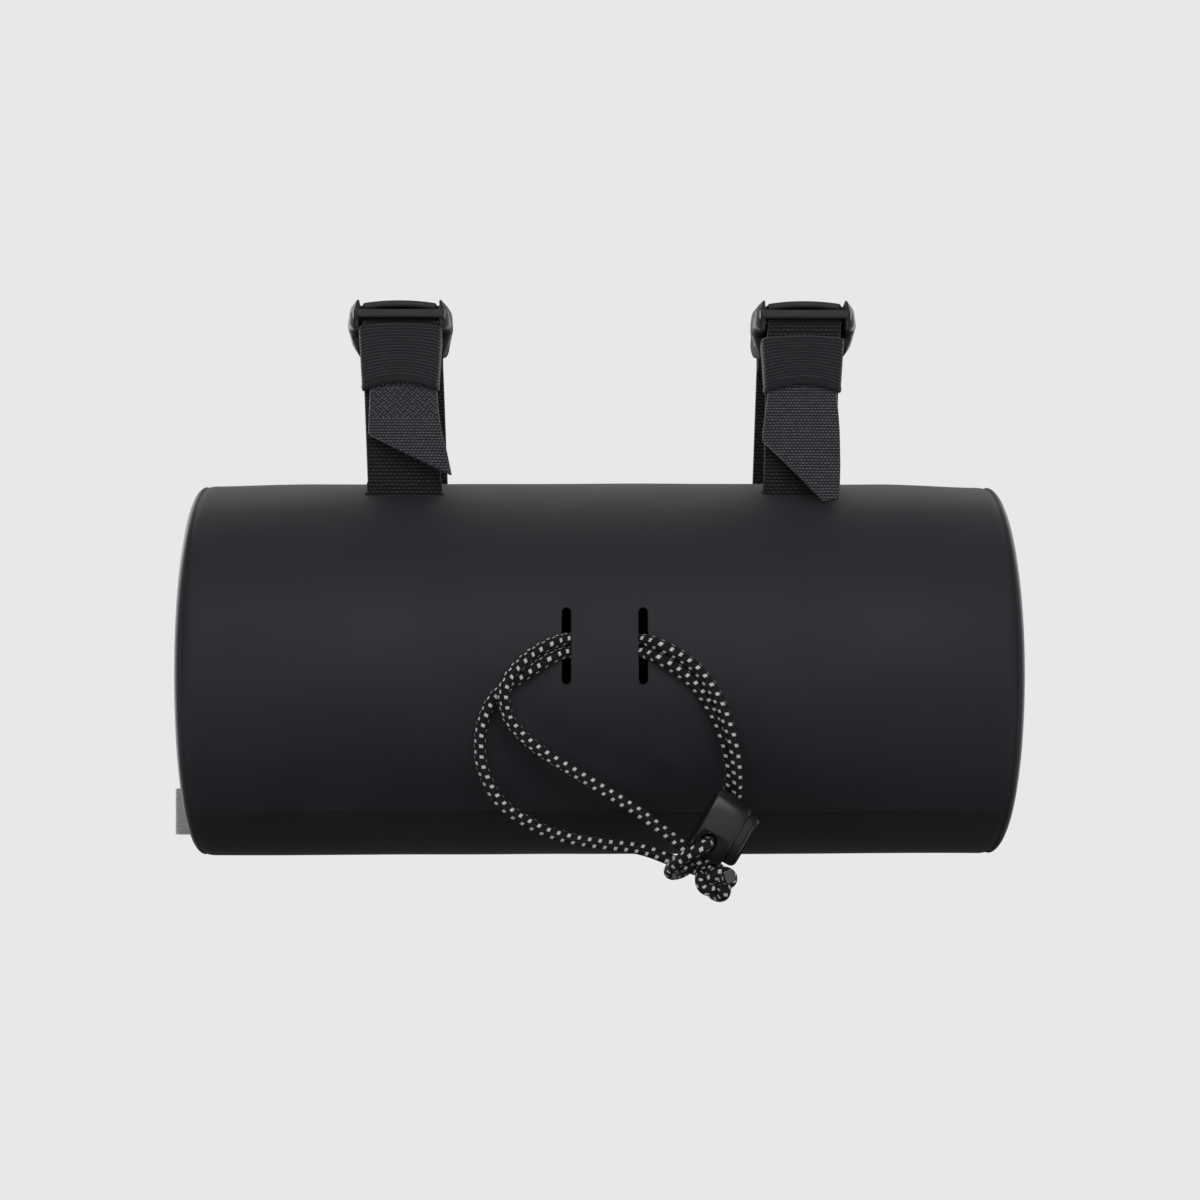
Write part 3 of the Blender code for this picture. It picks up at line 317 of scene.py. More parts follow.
@dataclass(frozen=True)
class BraidedSleeve:
    """Braided nylon over rubber, with reflective tracer yarn that shows as short white dashes.

    The UV map runs in turns round the cord and in millimetres along it.
    """

    name: str = "braided_shock_cord"
    yarn: str = "1E1D20"
    # painted shade: the colour of the grooves between braid strands
    groove_shade: str = "0D0D0E"
    tracer: str = "F2F3F5"
    rows: int = 5
    pitch_mm: float = 2.7
    dash_along: float = 0.29
    dash_round: float = 0.56
    braid_mm: float = 0.6
    strands: int = 16
    relief_mm: float = 0.12

    def build(self) -> bpy.types.Material:
        """Make the finish's shader nodes.

        Returns:
            The finished material.
        """
        material, tree, shader = start_material(self.name, 0.7, self.yarn, Sheen_Weight=0.05,
                                                Specular_IOR_Level=0.35)
        weave = add_node(tree, "TexCoord").outputs["UV"]
        flat = add_node(tree, "SeparateXYZ", {}, {"Vector": weave})
        turns = add_node(tree, "Math", {"operation": "MULTIPLY", 1: float(self.rows)},
                         {0: flat.outputs["X"]})
        row = add_node(tree, "Math", {"operation": "FLOOR"}, {0: turns})
        late_half = add_node(tree, "Math", {"operation": "MULTIPLY", 1: 0.5}, {0: row})
        along = add_node(tree, "Math", {"operation": "DIVIDE", 1: self.pitch_mm},
                         {0: flat.outputs["Y"]})
        phased = add_node(tree, "Math", {"operation": "ADD"},
                          {0: along, 1: late_half})
        in_row = add_node(tree, "Math", {"operation": "FRACT"}, {0: turns})
        in_pitch = add_node(tree, "Math", {"operation": "FRACT"}, {0: phased})
        off_row = add_node(tree, "Math", {"operation": "SUBTRACT", 1: 0.5}, {0: in_row})
        off_pitch = add_node(tree, "Math", {"operation": "SUBTRACT", 1: 0.5},
                             {0: in_pitch})
        # the yarn lies at a slant, so each dash leans a little
        slant = add_node(tree, "Math", {"operation": "MULTIPLY", 1: 0.12}, {0: off_row})
        leaning = add_node(tree, "Math", {"operation": "ADD"},
                           {0: off_pitch, 1: slant})
        wide = add_node(tree, "Math", {"operation": "ABSOLUTE"}, {0: off_row})
        tall = add_node(tree, "Math", {"operation": "ABSOLUTE"}, {0: leaning})
        wide_share = add_node(tree, "Math", {"operation": "DIVIDE", 1: self.dash_round / 2},
                              {0: wide})
        tall_share = add_node(tree, "Math", {"operation": "DIVIDE", 1: self.dash_along / 2},
                              {0: tall})
        edge = add_node(tree, "Math", {"operation": "SMOOTH_MAX", 2: 0.25},
                        {0: wide_share, 1: tall_share})
        dash = add_node(tree, "MapRange", {"From Min": 1.12, "From Max": 0.95},
                        {"Value": edge})
        ribs_in = add_node(tree, "Math", {"operation": "MULTIPLY", 1: self.strands * 2 * math.pi},
                           {0: flat.outputs["X"]})
        run = add_node(tree, "Math", {"operation": "MULTIPLY", 1: 2 * math.pi / self.braid_mm},
                       {0: flat.outputs["Y"]})
        one = add_node(tree, "Math", {"operation": "ADD"}, {0: ribs_in, 1: run})
        two = add_node(tree, "Math", {"operation": "SUBTRACT"}, {0: ribs_in, 1: run})
        wave_one = add_node(tree, "Math", {"operation": "SINE"}, {0: one})
        wave_two = add_node(tree, "Math", {"operation": "SINE"}, {0: two})
        braid = add_node(tree, "Math", {"operation": "MULTIPLY"}, {0: wave_one, 1: wave_two})
        height = add_node(tree, "Math", {"operation": "MULTIPLY_ADD", 1: 0.5, 2: 0.5}, {0: braid})
        # painted shade: the braid darkens towards its grooves
        ground = add_node(tree, "Mix", {"data_type": "RGBA", 6: linear_colour(self.groove_shade),
                                        7: linear_colour(self.yarn)}, {0: height})
        colour = add_node(tree, "Mix", {"data_type": "RGBA", 7: linear_colour(self.tracer)},
                          {0: dash, 6: ground.outputs[2]})
        raised = add_node(tree, "Math", {"operation": "ADD"}, {0: height, 1: dash})
        bump = add_node(tree, "Bump", {"Strength": 0.5, "Distance": self.relief_mm * MM},
                        {"Height": raised})
        connect(tree, shader, {"Base Color": colour.outputs[2], "Normal": bump})
        return material


@dataclass(frozen=True)
class MouldedPlastic:
    """Injection-moulded acetal or nylon: a fine spark-eroded grain under a soft shine."""

    name: str
    colour: str
    worn: str
    roughness: float
    grain_mm: float = 0.25
    grain_depth_mm: float = 0.02
    coat: float = 0.0
    blotch_mm: float = 7.0

    def build(self) -> bpy.types.Material:
        """Make the finish's shader nodes.

        Returns:
            The finished material.
        """
        material, tree, shader = start_material(self.name, self.roughness, self.colour,
                                                IOR=1.48, Coat_Weight=self.coat,
                                                Coat_Roughness=0.22)
        place = add_node(tree, "TexCoord").outputs["Object"]
        grain = add_node(tree, "TexNoise", {"Scale": 1 / (self.grain_mm * MM), "Detail": 3.0},
                         {"Vector": place})
        blotch = add_node(tree, "TexNoise", {"Scale": 1 / (self.blotch_mm * MM), "Detail": 2.0},
                          {"Vector": place})
        tone = add_node(tree, "Mix", {"data_type": "RGBA", 6: linear_colour(self.colour),
                                      7: linear_colour(self.worn)}, {0: blotch})
        dull = add_node(tree, "MapRange", {"To Min": self.roughness - 0.06,
                                           "To Max": self.roughness + 0.08},
                        {"Value": blotch})
        bump = add_node(tree, "Bump", {"Strength": 0.35, "Distance": self.grain_depth_mm * MM},
                        {"Height": grain})
        connect(tree, shader, {"Base Color": tone.outputs[2], "Roughness": dull, "Normal": bump})
        return material


@dataclass(frozen=True)
class PaintedMetal:
    """Die-cast zinc with a dark spray finish: smooth, half glossy, a little uneven."""

    name: str = "painted_zinc"
    colour: str = "2B2B2D"
    roughness: float = 0.36
    peel_mm: float = 0.8
    peel_depth_mm: float = 0.02

    def build(self) -> bpy.types.Material:
        """Make the finish's shader nodes.

        Returns:
            The finished material.
        """
        material, tree, shader = start_material(self.name, self.roughness, self.colour,
                                                Metallic=0.35)
        place = add_node(tree, "TexCoord").outputs["Object"]
        orange_peel = add_node(tree, "TexNoise", {"Scale": 1 / (self.peel_mm * MM), "Detail": 1.0},
                               {"Vector": place})
        dull = add_node(tree, "MapRange", {"To Min": 0.28, "To Max": 0.46},
                        {"Value": orange_peel})
        bump = add_node(tree, "Bump", {"Strength": 0.2, "Distance": self.peel_depth_mm * MM},
                        {"Height": orange_peel})
        connect(tree, shader, {"Roughness": dull, "Normal": bump})
        return material


SHELL_CLOTH = CoatedCloth("coated_nylon", "2A262E", "312C34")
# painted shade: the base gets a darker copy of the shell cloth, for the shade on its
# downward-facing side
SHADED_BASE_CLOTH = CoatedCloth("coated_nylon_base_painted_shade", "1E1A22", "231F27")
# lighter than the shell cloth: painted light for the pale rim where the ends catch the light
EDGE_CLOTH = CoatedCloth("coated_nylon_end", "33333A", "3A3A3E", roughness=0.56)
# painted shade: a darker copy of the webbing for the leg, which lies in shade behind the tail
SHADED_LEG_WEBBING = WovenBand("ribbed_webbing_back_painted_shade", "09080A", "302C32", "6B666D", 0.96, 1.3, notch=0.5)
TAIL_WEBBING = WovenBand("ribbed_webbing_face", "242126", "4E4A51", "ADA8B0", 0.78, 0.95,
                         highlight_share=0.6)
# its chevrons are coarser than the real ones, which would be too fine to show
CHEVRON_WEBBING = WovenBand("chevron_webbing_face", "201D22", "524E55", "B4AFB7", 1.0, 1.0, 1.65)
KEEPER_ELASTIC = WovenBand("ribbed_elastic", "2A272C", "565158", "A49FA6", 0.9, 0.85,
                           relief_mm=0.15, highlight_share=0.5, notch=0.55)
# painted shade: the hem gets a darker copy of the keeper elastic, for the shade under its rolled
# edge
SHADED_HEM_ELASTIC = CoatedCloth("smooth_elastic_hem_painted_shade", "242127", "2A272D", pebble_mm=0.5,
                          roughness=0.75)
ZIP_CLOTH = WovenBand("zip_tape_weave", "0F0F10", "1E1D20", "2E2D31", 0.7, 0.8)
PULL_RIBBON = WovenBand("grosgrain_ribbon", "4A4948", "6E6C6B", "8A8887", 0.6, 0.9)
# a pale ribbon, its colour also lifted as painted light for the side light falling on the tab's
# face
TAB_RIBBON = WovenBand("light_ribbon", "B4B3B2", "D2D1D0", "E6E5E4", 0.6, 0.9)
CORD_SLEEVE = BraidedSleeve()
KNOT_SLEEVE = BraidedSleeve(name="braided_shock_cord_knot", yarn="242326", pitch_mm=1.9, rows=6)
CUT_CORD = MouldedPlastic("melted_cord_end", "5A565A", "6E6A6E", 0.5, grain_mm=0.4,
                          grain_depth_mm=0.1)
BUCKLE_ACETAL = MouldedPlastic("moulded_acetal", "28272A", "2F2E31", 0.46)
LOCK_ACETAL = MouldedPlastic("glossy_acetal", "1C1A1D", "222023", 0.29, grain_mm=0.6,
                             grain_depth_mm=0.008, coat=0.3)
THREAD = MouldedPlastic("bonded_thread", "0D0C0E", "161517", 0.6, grain_mm=0.3)
COIL = MouldedPlastic("nylon_coil", "161617", "1C1C1E", 0.4)
ZINC = PaintedMetal()


# Making and finishing pieces


def clear_selection() -> None:
    """Go to object mode with nothing selected."""
    if bpy.context.object and bpy.context.object.mode != "OBJECT":
        bpy.ops.object.mode_set(mode="OBJECT")
    bpy.ops.object.select_all(action="DESELECT")


def take(piece: bpy.types.Object) -> None:
    """Select one piece alone and make it active.

    Args:
        piece: the piece.
    """
    clear_selection()
    piece.select_set(True)
    bpy.context.view_layer.objects.active = piece


def edit_all(piece: bpy.types.Object) -> None:
    """Enter edit mode on a piece with everything selected.

    Args:
        piece: the piece.
    """
    take(piece)
    bpy.ops.object.mode_set(mode="EDIT")
    bpy.ops.mesh.select_all(action="SELECT")


def leave_edit() -> None:
    """Go back to object mode."""
    bpy.ops.object.mode_set(mode="OBJECT")


def apply_place() -> None:
    """Put the active piece's place, turn and scale into its mesh."""
    bpy.ops.object.transform_apply(location=True, rotation=True, scale=True)


def turn_outwards(piece: bpy.types.Object) -> None:
    """Turn all faces of a closed piece outwards.

    Args:
        piece: the piece.
    """
    edit_all(piece)
    bpy.ops.mesh.normals_make_consistent(inside=False)
    leave_edit()


def bevel_where(piece: bpy.types.Object, chosen: Callable[[Vector, Vector], bool], width: float,
                segments: int) -> None:
    """Round some of a piece's edges.

    Args:
        piece: the piece.
        chosen: says from an edge's two ends whether it is rounded.
        width: radius of the rounding, in metres.
        segments: number of faces across it.
    """
    take(piece)
    bpy.ops.object.mode_set(mode="EDIT")
    bpy.ops.mesh.select_mode(type="EDGE")
    bpy.ops.mesh.select_all(action="DESELECT")
    leave_edit()
    mesh = piece.data
    for edge in mesh.edges:
        start, end = (mesh.vertices[index].co for index in edge.vertices)
        edge.select = chosen(start, end)
    bpy.ops.object.mode_set(mode="EDIT")
    bpy.ops.mesh.bevel(offset=width, segments=segments, affect="EDGES")
    leave_edit()


def give_wall(piece: bpy.types.Object, thickness: float) -> None:
    """Give a sheet its thickness, half of it to each side, with a live modifier.

    Args:
        piece: the sheet.
        thickness: in metres.
    """
    wall = piece.modifiers.new("wall", "SOLIDIFY")
    wall.thickness = thickness
    wall.offset = 0


def soften_edges(piece: bpy.types.Object, width: float, segments: int, degrees: float) -> None:
    """Round all edges sharper than an angle, with a live modifier.

    Args:
        piece: the piece.
        width: radius of the rounding, in metres.
        segments: number of faces across it.
        degrees: the angle.
    """
    bevel = piece.modifiers.new("soft_edges", "BEVEL")
    bevel.width = width
    bevel.segments = segments
    bevel.limit_method = "ANGLE"
    bevel.angle_limit = math.radians(degrees)


def repeat_along(piece: bpy.types.Object, count: int, pitch: float) -> None:
    """Repeat a piece in a row along X.

    Args:
        piece: the first of the row.
        count: how many there are.
        pitch: the distance between neighbours, in metres.
    """
    row = piece.modifiers.new("row", "ARRAY")
    row.count = count
    row.use_relative_offset = False
    row.use_constant_offset = True
    row.constant_offset_displace = (pitch, 0, 0)
    take(piece)
    bpy.ops.object.modifier_apply(modifier=row.name)


def length_share(piece: bpy.types.Object, face: bpy.types.MeshPolygon) -> float:
    """Return how far along the piece a face lies, in the UV map's millimetres."""
    layer = piece.data.uv_layers[0].data
    return sum(layer[index].uv.y for index in face.loop_indices) / len(face.loop_indices)


def settle(piece: bpy.types.Object, smooth_degrees: float = 35.0) -> bpy.types.Object:
    """Apply a piece's modifiers and its place, and shade it.

    Args:
        piece: the piece.
        smooth_degrees: edges sharper than this stay sharp.

    Returns:
        The same piece.
    """
    take(piece)
    for modifier in list(piece.modifiers):
        bpy.ops.object.modifier_apply(modifier=modifier.name)
    apply_place()
    bpy.ops.object.shade_smooth_by_angle(angle=math.radians(smooth_degrees))
    return piece


def join(name: str, pieces: Sequence[bpy.types.Object]) -> bpy.types.Object:
    """Join settled pieces into one.

    Args:
        name: the joined piece's name.
        pieces: at least one piece.

    Returns:
        The joined piece.
    """
    clear_selection()
    for piece in pieces:
        piece.select_set(True)
    bpy.context.view_layer.objects.active = pieces[0]
    if len(pieces) > 1:
        bpy.ops.object.join()
    pieces[0].name = name
    return pieces[0]


def cut(piece: bpy.types.Object, tool: bpy.types.Object) -> None:
    """Cut a tool's shape out of a piece and remove the tool.

    Args:
        piece: the piece.
        tool: a closed shape.
    """
    modifier = piece.modifiers.new("cut", "BOOLEAN")
    modifier.operation = "DIFFERENCE"
    modifier.object = tool
    modifier.solver = "EXACT"
    take(piece)
    bpy.ops.object.modifier_apply(modifier=modifier.name)
    bpy.data.objects.remove(tool)


def dress(piece: bpy.types.Object, finishes: Sequence[bpy.types.Material], slot: str,
          *nodes: str) -> bpy.types.Object:
    """Give a piece its materials, its body and the solids that it stands for.

    Args:
        piece: the piece.
        finishes: its materials, in the order of its material numbers.
        slot: the record's material slot; not used.
        nodes: the solids that it replaces.

    Returns:
        The same piece.
    """
    held = piece.data.materials
    for index, finish in enumerate(finishes):
        if index < len(held):
            held[index] = finish
        else:
            held.append(finish)
    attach(piece, "root")
    if nodes:
        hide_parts(*nodes)
    LOG.info("%s: %d faces", piece.name, len(piece.data.polygons))
    return piece


def lay_grid(name: str, across: int, along: int, place: Callable[[float, float], Vector],
             spans: tuple[float, float], closed: bool = False,
             widths: Sequence[float] | None = None) -> bpy.types.Object:
    """Add a flat grid and carry each of its points onto a surface.

    Args:
        name: the piece's name.
        across: number of faces in u.
        along: number of faces in v.
        place: gives the place of a point from its u and v, both from 0 to 1.
        spans: what the UV map reaches at u = 1 and at v = 1.
        closed: whether the sides u = 0 and u = 1 meet and are welded.
        widths: what the UV map reaches at each column, where its columns aren't even.

    Returns:
        The new piece.
    """
    clear_selection()
    bpy.ops.mesh.primitive_grid_add(x_subdivisions=across, y_subdivisions=along, size=1)
    piece = bpy.context.object
    piece.name = name
    mesh = piece.data
    shares = [(vertex.co.x + 0.5, vertex.co.y + 0.5) for vertex in mesh.vertices]
    layer = mesh.uv_layers[0] if mesh.uv_layers else mesh.uv_layers.new(name="UVMap")
    flat = [0.0] * (2 * len(mesh.loops))
    for loop in mesh.loops:
        u, v = shares[loop.vertex_index]
        flat[2 * loop.index] = widths[round(u * across)] if widths else u * spans[0]
        flat[2 * loop.index + 1] = v * spans[1]
    layer.data.foreach_set("uv", flat)
    for vertex, (u, v) in zip(mesh.vertices, shares):
        vertex.co = place(u, v)
    mesh.update()
    if closed:
        edit_all(piece)
        bpy.ops.mesh.remove_doubles(threshold=WELD)
        leave_edit()
    return piece


def close_ends(piece: bpy.types.Object) -> None:
    """Fill the open ends of a tube and turn its faces outwards.

    Args:
        piece: the tube.
    """
    edit_all(piece)
    bpy.ops.mesh.select_all(action="DESELECT")
    bpy.ops.mesh.select_mode(type="EDGE")
    bpy.ops.mesh.select_non_manifold(extend=False, use_wire=False, use_boundary=True,
                                     use_multi_face=False, use_non_contiguous=False,
                                     use_verts=False)
    bpy.ops.mesh.fill_holes(sides=0)
    turn_outwards(piece)


def smooth_through(points: Sequence[Vector], closed: bool = False) -> list[Vector]:
    """Return closely spaced points of a smooth curve through some points.

    Args:
        points: the points it passes.
        closed: whether it returns to its start.

    Returns:
        The curve's points, about half a millimetre apart.
    """
    if closed:
        ends = [points[-1], *points, points[0], points[1]]
    else:
        ends = [points[0] * 2 - points[1], *points, points[-1] * 2 - points[-2]]
    curve = []
    for p0, p1, p2, p3 in zip(ends, ends[1:], ends[2:], ends[3:]):
        pieces = max(4, round((p2 - p1).length / (0.5 * MM)))
        for step in range(pieces):
            t = step / pieces
            curve.append(0.5 * ((2 * p1) + (p2 - p0) * t + (2 * p0 - 5 * p1 + 4 * p2 - p3) * t ** 2
                                + (3 * p1 - p0 - 3 * p2 + p3) * t ** 3))
    if not closed:
        curve.append(points[-1].copy())
    return curve


def even_points(curve: Sequence[Vector], step: float) -> list[Vector]:
    """Space a curve's points evenly.

    Args:
        curve: its points.
        step: the distance wanted, in metres.

    Returns:
        Evenly spaced points, with the same two ends.
    """
    runs = [0.0]
    for before, here in zip(curve, curve[1:]):
        runs.append(runs[-1] + (here - before).length)
    count = max(2, round(runs[-1] / step))
    points, index = [], 0
    for number in range(count + 1):
        goal = runs[-1] * number / count
        while index < len(runs) - 2 and runs[index + 1] < goal:
            index += 1
        span = runs[index + 1] - runs[index]
        share = (goal - runs[index]) / span if span else 0.0
        points.append(curve[index].lerp(curve[index + 1], min(max(share, 0.0), 1.0)))
    return points


def length_of(points: Sequence[Vector]) -> float:
    """Return the length of a line of points."""
    return sum((b - a).length for a, b in zip(points, points[1:]))


def lay_tube(name: str, points: Sequence[Vector], radius: float, around: int,
             closed: bool = False, twist_per_mm: float = 0.0) -> bpy.types.Object:
    """Make a round tube along evenly spaced points.

    Args:
        name: the piece's name.
        points: its middle line; a closed one doesn't repeat its first point.
        radius: in metres.
        around: number of faces round it.
        closed: whether it returns to its start.
        twist_per_mm: turns of its UV map per millimetre.

    Returns:
        A closed mesh whose UV map runs in turns and in millimetres.
    """
    line = list(points) + ([points[0]] if closed else [])
    count = len(line)
    tangents = []
    for index in range(count):
        before = line[index - 1] if index else (line[-2] if closed else line[0])
        after = line[index + 1] if index < count - 1 else (line[1] if closed else line[-1])
        tangents.append((after - before).normalized())
    side = tangents[0].orthogonal().normalized()
    frames = []
    for tangent in tangents:
        side = (side - tangent * side.dot(tangent)).normalized()
        frames.append((side.copy(), tangent.cross(side)))
    # a closed tube is turned back bit by bit so that its last ring meets its first
    off = 0.0
    if closed:
        first, last = frames[0], frames[-1]
        off = math.atan2(last[0].dot(first[1]), last[0].dot(first[0]))

    def place(u: float, v: float) -> Vector:
        """Find a place on the tube's skin.

        Args:
            u: share of the way round the tube.
            v: share of the way along it.

        Returns:
            The place.
        """
        ring = round(v * (count - 1))
        turn = u * 2 * math.pi - off * v
        one, two = frames[ring]
        return line[ring] + (one * math.cos(turn) + two * math.sin(turn)) * radius

    long_mm = length_of(line) / MM
    piece = lay_grid(name, around, count - 1, place, (1.0, long_mm), closed=True)
    if twist_per_mm:
        for entry in piece.data.uv_layers[0].data:
            entry.uv.x += entry.uv.y * twist_per_mm
    if not closed:
        close_ends(piece)
    return piece


def round_corners(corners: Sequence[tuple[float, float, float]], arc_steps: int = 8
                  ) -> list[Vector]:
    """Round the corners (y, z, radius) of a path.

    Args:
        corners: places in the plane, each with the radius of its bend.
        arc_steps: points in each bend.

    Returns:
        Points in the YZ plane.
    """
    points = [Vector((0, corners[0][0], corners[0][1]))]
    for before, corner, after in zip(corners, corners[1:], corners[2:]):
        place = Vector((0, corner[0], corner[1]))
        radius = corner[2]
        into = (Vector((0, before[0], before[1])) - place).normalized()
        out = (Vector((0, after[0], after[1])) - place).normalized()
        half = into.angle(out) / 2
        if radius <= 0 or half > math.radians(88):
            points.append(place)
            continue
        centre = place + (into + out).normalized() * (radius / math.sin(half))
        first = (place + into * (radius / math.tan(half)) - centre).normalized()
        last = (place + out * (radius / math.tan(half)) - centre).normalized()
        for step in range(arc_steps + 1):
            points.append(centre + first.slerp(last, step / arc_steps) * radius)
    points.append(Vector((0, corners[-1][0], corners[-1][1])))
    return points


def interpolate(value: float, table: Sequence[tuple[float, float]]) -> float:
    """Read a table with straight lines between its rows.

    Args:
        value: the place to read it at.
        table: rows of a place and a value, rising in place.

    Returns:
        The value there, or the end row's value beyond the ends.
    """
    if value <= table[0][0]:
        return table[0][1]
    for (x0, y0), (x1, y1) in zip(table, table[1:]):
        if value <= x1:
            return y0 + (y1 - y0) * (value - x0) / (x1 - x0)
    return table[-1][1]


def ease(share: float) -> float:
    """Return a share from 0 to 1 with soft ends."""
    share = min(max(share, 0.0), 1.0)
    return share * share * (3 - 2 * share)


# The studio


# each soft box: its name, its middle and its width and height in metres, and its watts
SOFT_BOXES = (
    ("overhead_box", (0.0, -0.1, 1.0), (1.4, 1.0), 1.4),
    ("rear_box", (0.0, 0.7, 0.8), (1.4, 0.8), 3.3),
    ("front_box", (0.0, -1.5, 0.0), (1.3, 0.9), 2.6),
    ("high_front_box", (0.0, -1.3, 0.75), (1.3, 0.8), 6.9),
    ("left_rim_box", (-0.9, 0.7, 0.1), (0.7, 1.0), 12.0),
    ("right_rim_box", (0.9, 0.7, 0.1), (0.7, 1.0), 8.0),
    ("right_box", (1.2, -0.3, 0.1), (0.8, 1.0), 0.9),
    ("low_left_box", (-0.42, -0.35, -0.3), (0.25, 0.25), 0.32),
    ("low_right_box", (0.42, -0.35, -0.3), (0.25, 0.25), 0.27),
)


@dataclass
class Studio:
    """Camera, soft lights and a plain pale room."""

    distance: float = 0.656
    turn_degrees: float = -1.0
    height: float = -0.0478
    aside: float = -0.00038
    focal_mm: float = 71.82
    pale: str = "E8E8E8"
    room: float = 4.0
    floor_z: float = -0.55
    fill_light: float = 0.018
    aim: tuple[float, float, float] = (0.0, 0.0, -0.06)

    def camera(self) -> None:
        """Place the camera where the photograph was taken."""
        turn = math.radians(self.turn_degrees)
        right = Vector((math.cos(turn), math.sin(turn), 0))
        forward = Vector((-math.sin(turn), math.cos(turn), 0))
        data = bpy.data.cameras.new("camera")
        data.lens = self.focal_mm
        data.sensor_width = 36.0
        data.clip_start = 0.01
        data.clip_end = 50.0
        camera = bpy.data.objects.new("camera", data)
        camera.location = right * self.aside - forward * self.distance + Vector((0, 0, self.height))
        camera.rotation_euler = (math.radians(90), 0, turn)
        bpy.context.scene.collection.objects.link(camera)
        bpy.context.scene.camera = camera

    def light(self, name: str, place: tuple[float, float, float], size: tuple[float, float],
              watts: float) -> None:
        """Add a soft box that faces the bag.

        Args:
            name: its name.
            place: its middle, in metres.
            size: its width and height, in metres.
            watts: its power.
        """
        data = bpy.data.lights.new(name, "AREA")
        data.shape = "RECTANGLE"
        data.size, data.size_y = size
        data.energy = watts
        lamp = bpy.data.objects.new(name, data)
        lamp.location = place
        lamp.rotation_euler = (Vector(self.aim) - lamp.location).to_track_quat("-Z", "Y").to_euler()
        bpy.context.scene.collection.objects.link(lamp)

    def build_room(self) -> None:
        """Make the pale floor and the round wall behind, which only the camera sees."""
        paper = bpy.data.materials.new("pale_paper")
        paper.use_nodes = True
        tree = paper.node_tree
        tree.nodes.remove(tree.nodes["Principled BSDF"])
        glow = add_node(tree, "Emission", {"Color": linear_colour(self.pale), "Strength": 1.0})
        connect(tree, tree.nodes["Material Output"], {"Surface": glow})
        clear_selection()
        bpy.ops.mesh.primitive_uv_sphere_add(segments=48, ring_count=24, radius=self.room)
        dome = bpy.context.object
        dome.name = "pale_wall"
        clear_selection()
        bpy.ops.mesh.primitive_circle_add(vertices=64, radius=self.room, fill_type="NGON",
                                          location=(0, 0, self.floor_z))
        floor = bpy.context.object
        floor.name = "pale_floor"
        for piece in (dome, floor):
            piece.data.materials.append(paper)
            piece.visible_diffuse = False
            piece.visible_glossy = False
            piece.visible_transmission = False
            piece.visible_shadow = False

    def build(self) -> None:
        """Set up the whole studio."""
        scene = bpy.context.scene
        scene.view_settings.view_transform = "Standard"
        scene.view_settings.look = "None"
        world = bpy.data.worlds.new("room_light")
        world.use_nodes = True
        background = world.node_tree.nodes["Background"]
        background.inputs["Color"].default_value = (1, 1, 1, 1)
        background.inputs["Strength"].default_value = self.fill_light
        scene.world = world
        self.build_room()
        for name, place, size, watts in SOFT_BOXES:
            self.light(name, place, size, watts)


# The tube of the bag


@dataclass(frozen=True)
class TubeFrame:
    """The tube's axis and radius, which every piece on it follows."""

    axis_drop: float = 67.0 * MM
    radius: float = 50.5 * MM
    wall: float = 1.8 * MM
    half: float = 105.8 * MM
    middle_x: float = -1.0 * MM
    gap: float = 0.3 * MM

    def point(self, x: float, radius: float, degrees: float) -> Vector:
        """Return the place at a radius and angle; 0 is the front and 90 the top."""
        turn = math.radians(degrees)
        return Vector((x, -radius * math.cos(turn), radius * math.sin(turn) - self.axis_drop))

    def out(self, degrees: float) -> Vector:
        """Return the direction straight out of the cloth at an angle."""
        turn = math.radians(degrees)
        return Vector((0, -math.cos(turn), math.sin(turn)))


# an end's outer skin from its rim inwards: how far out it stands and its radius, in mm
CAP_PROFILE = (
    (-0.1, 49.2), (0.0, 49.75), (0.25, 49.95), (0.6, 49.85), (1.1, 49.45), (1.6, 48.8),
    (1.95, 48.0), (2.15, 47.1), (2.28, 46.0), (2.45, 44.0), (2.75, 40.0), (3.2, 32.0),
    (3.6, 22.0), (3.85, 11.0), (3.95, 0.0),
)


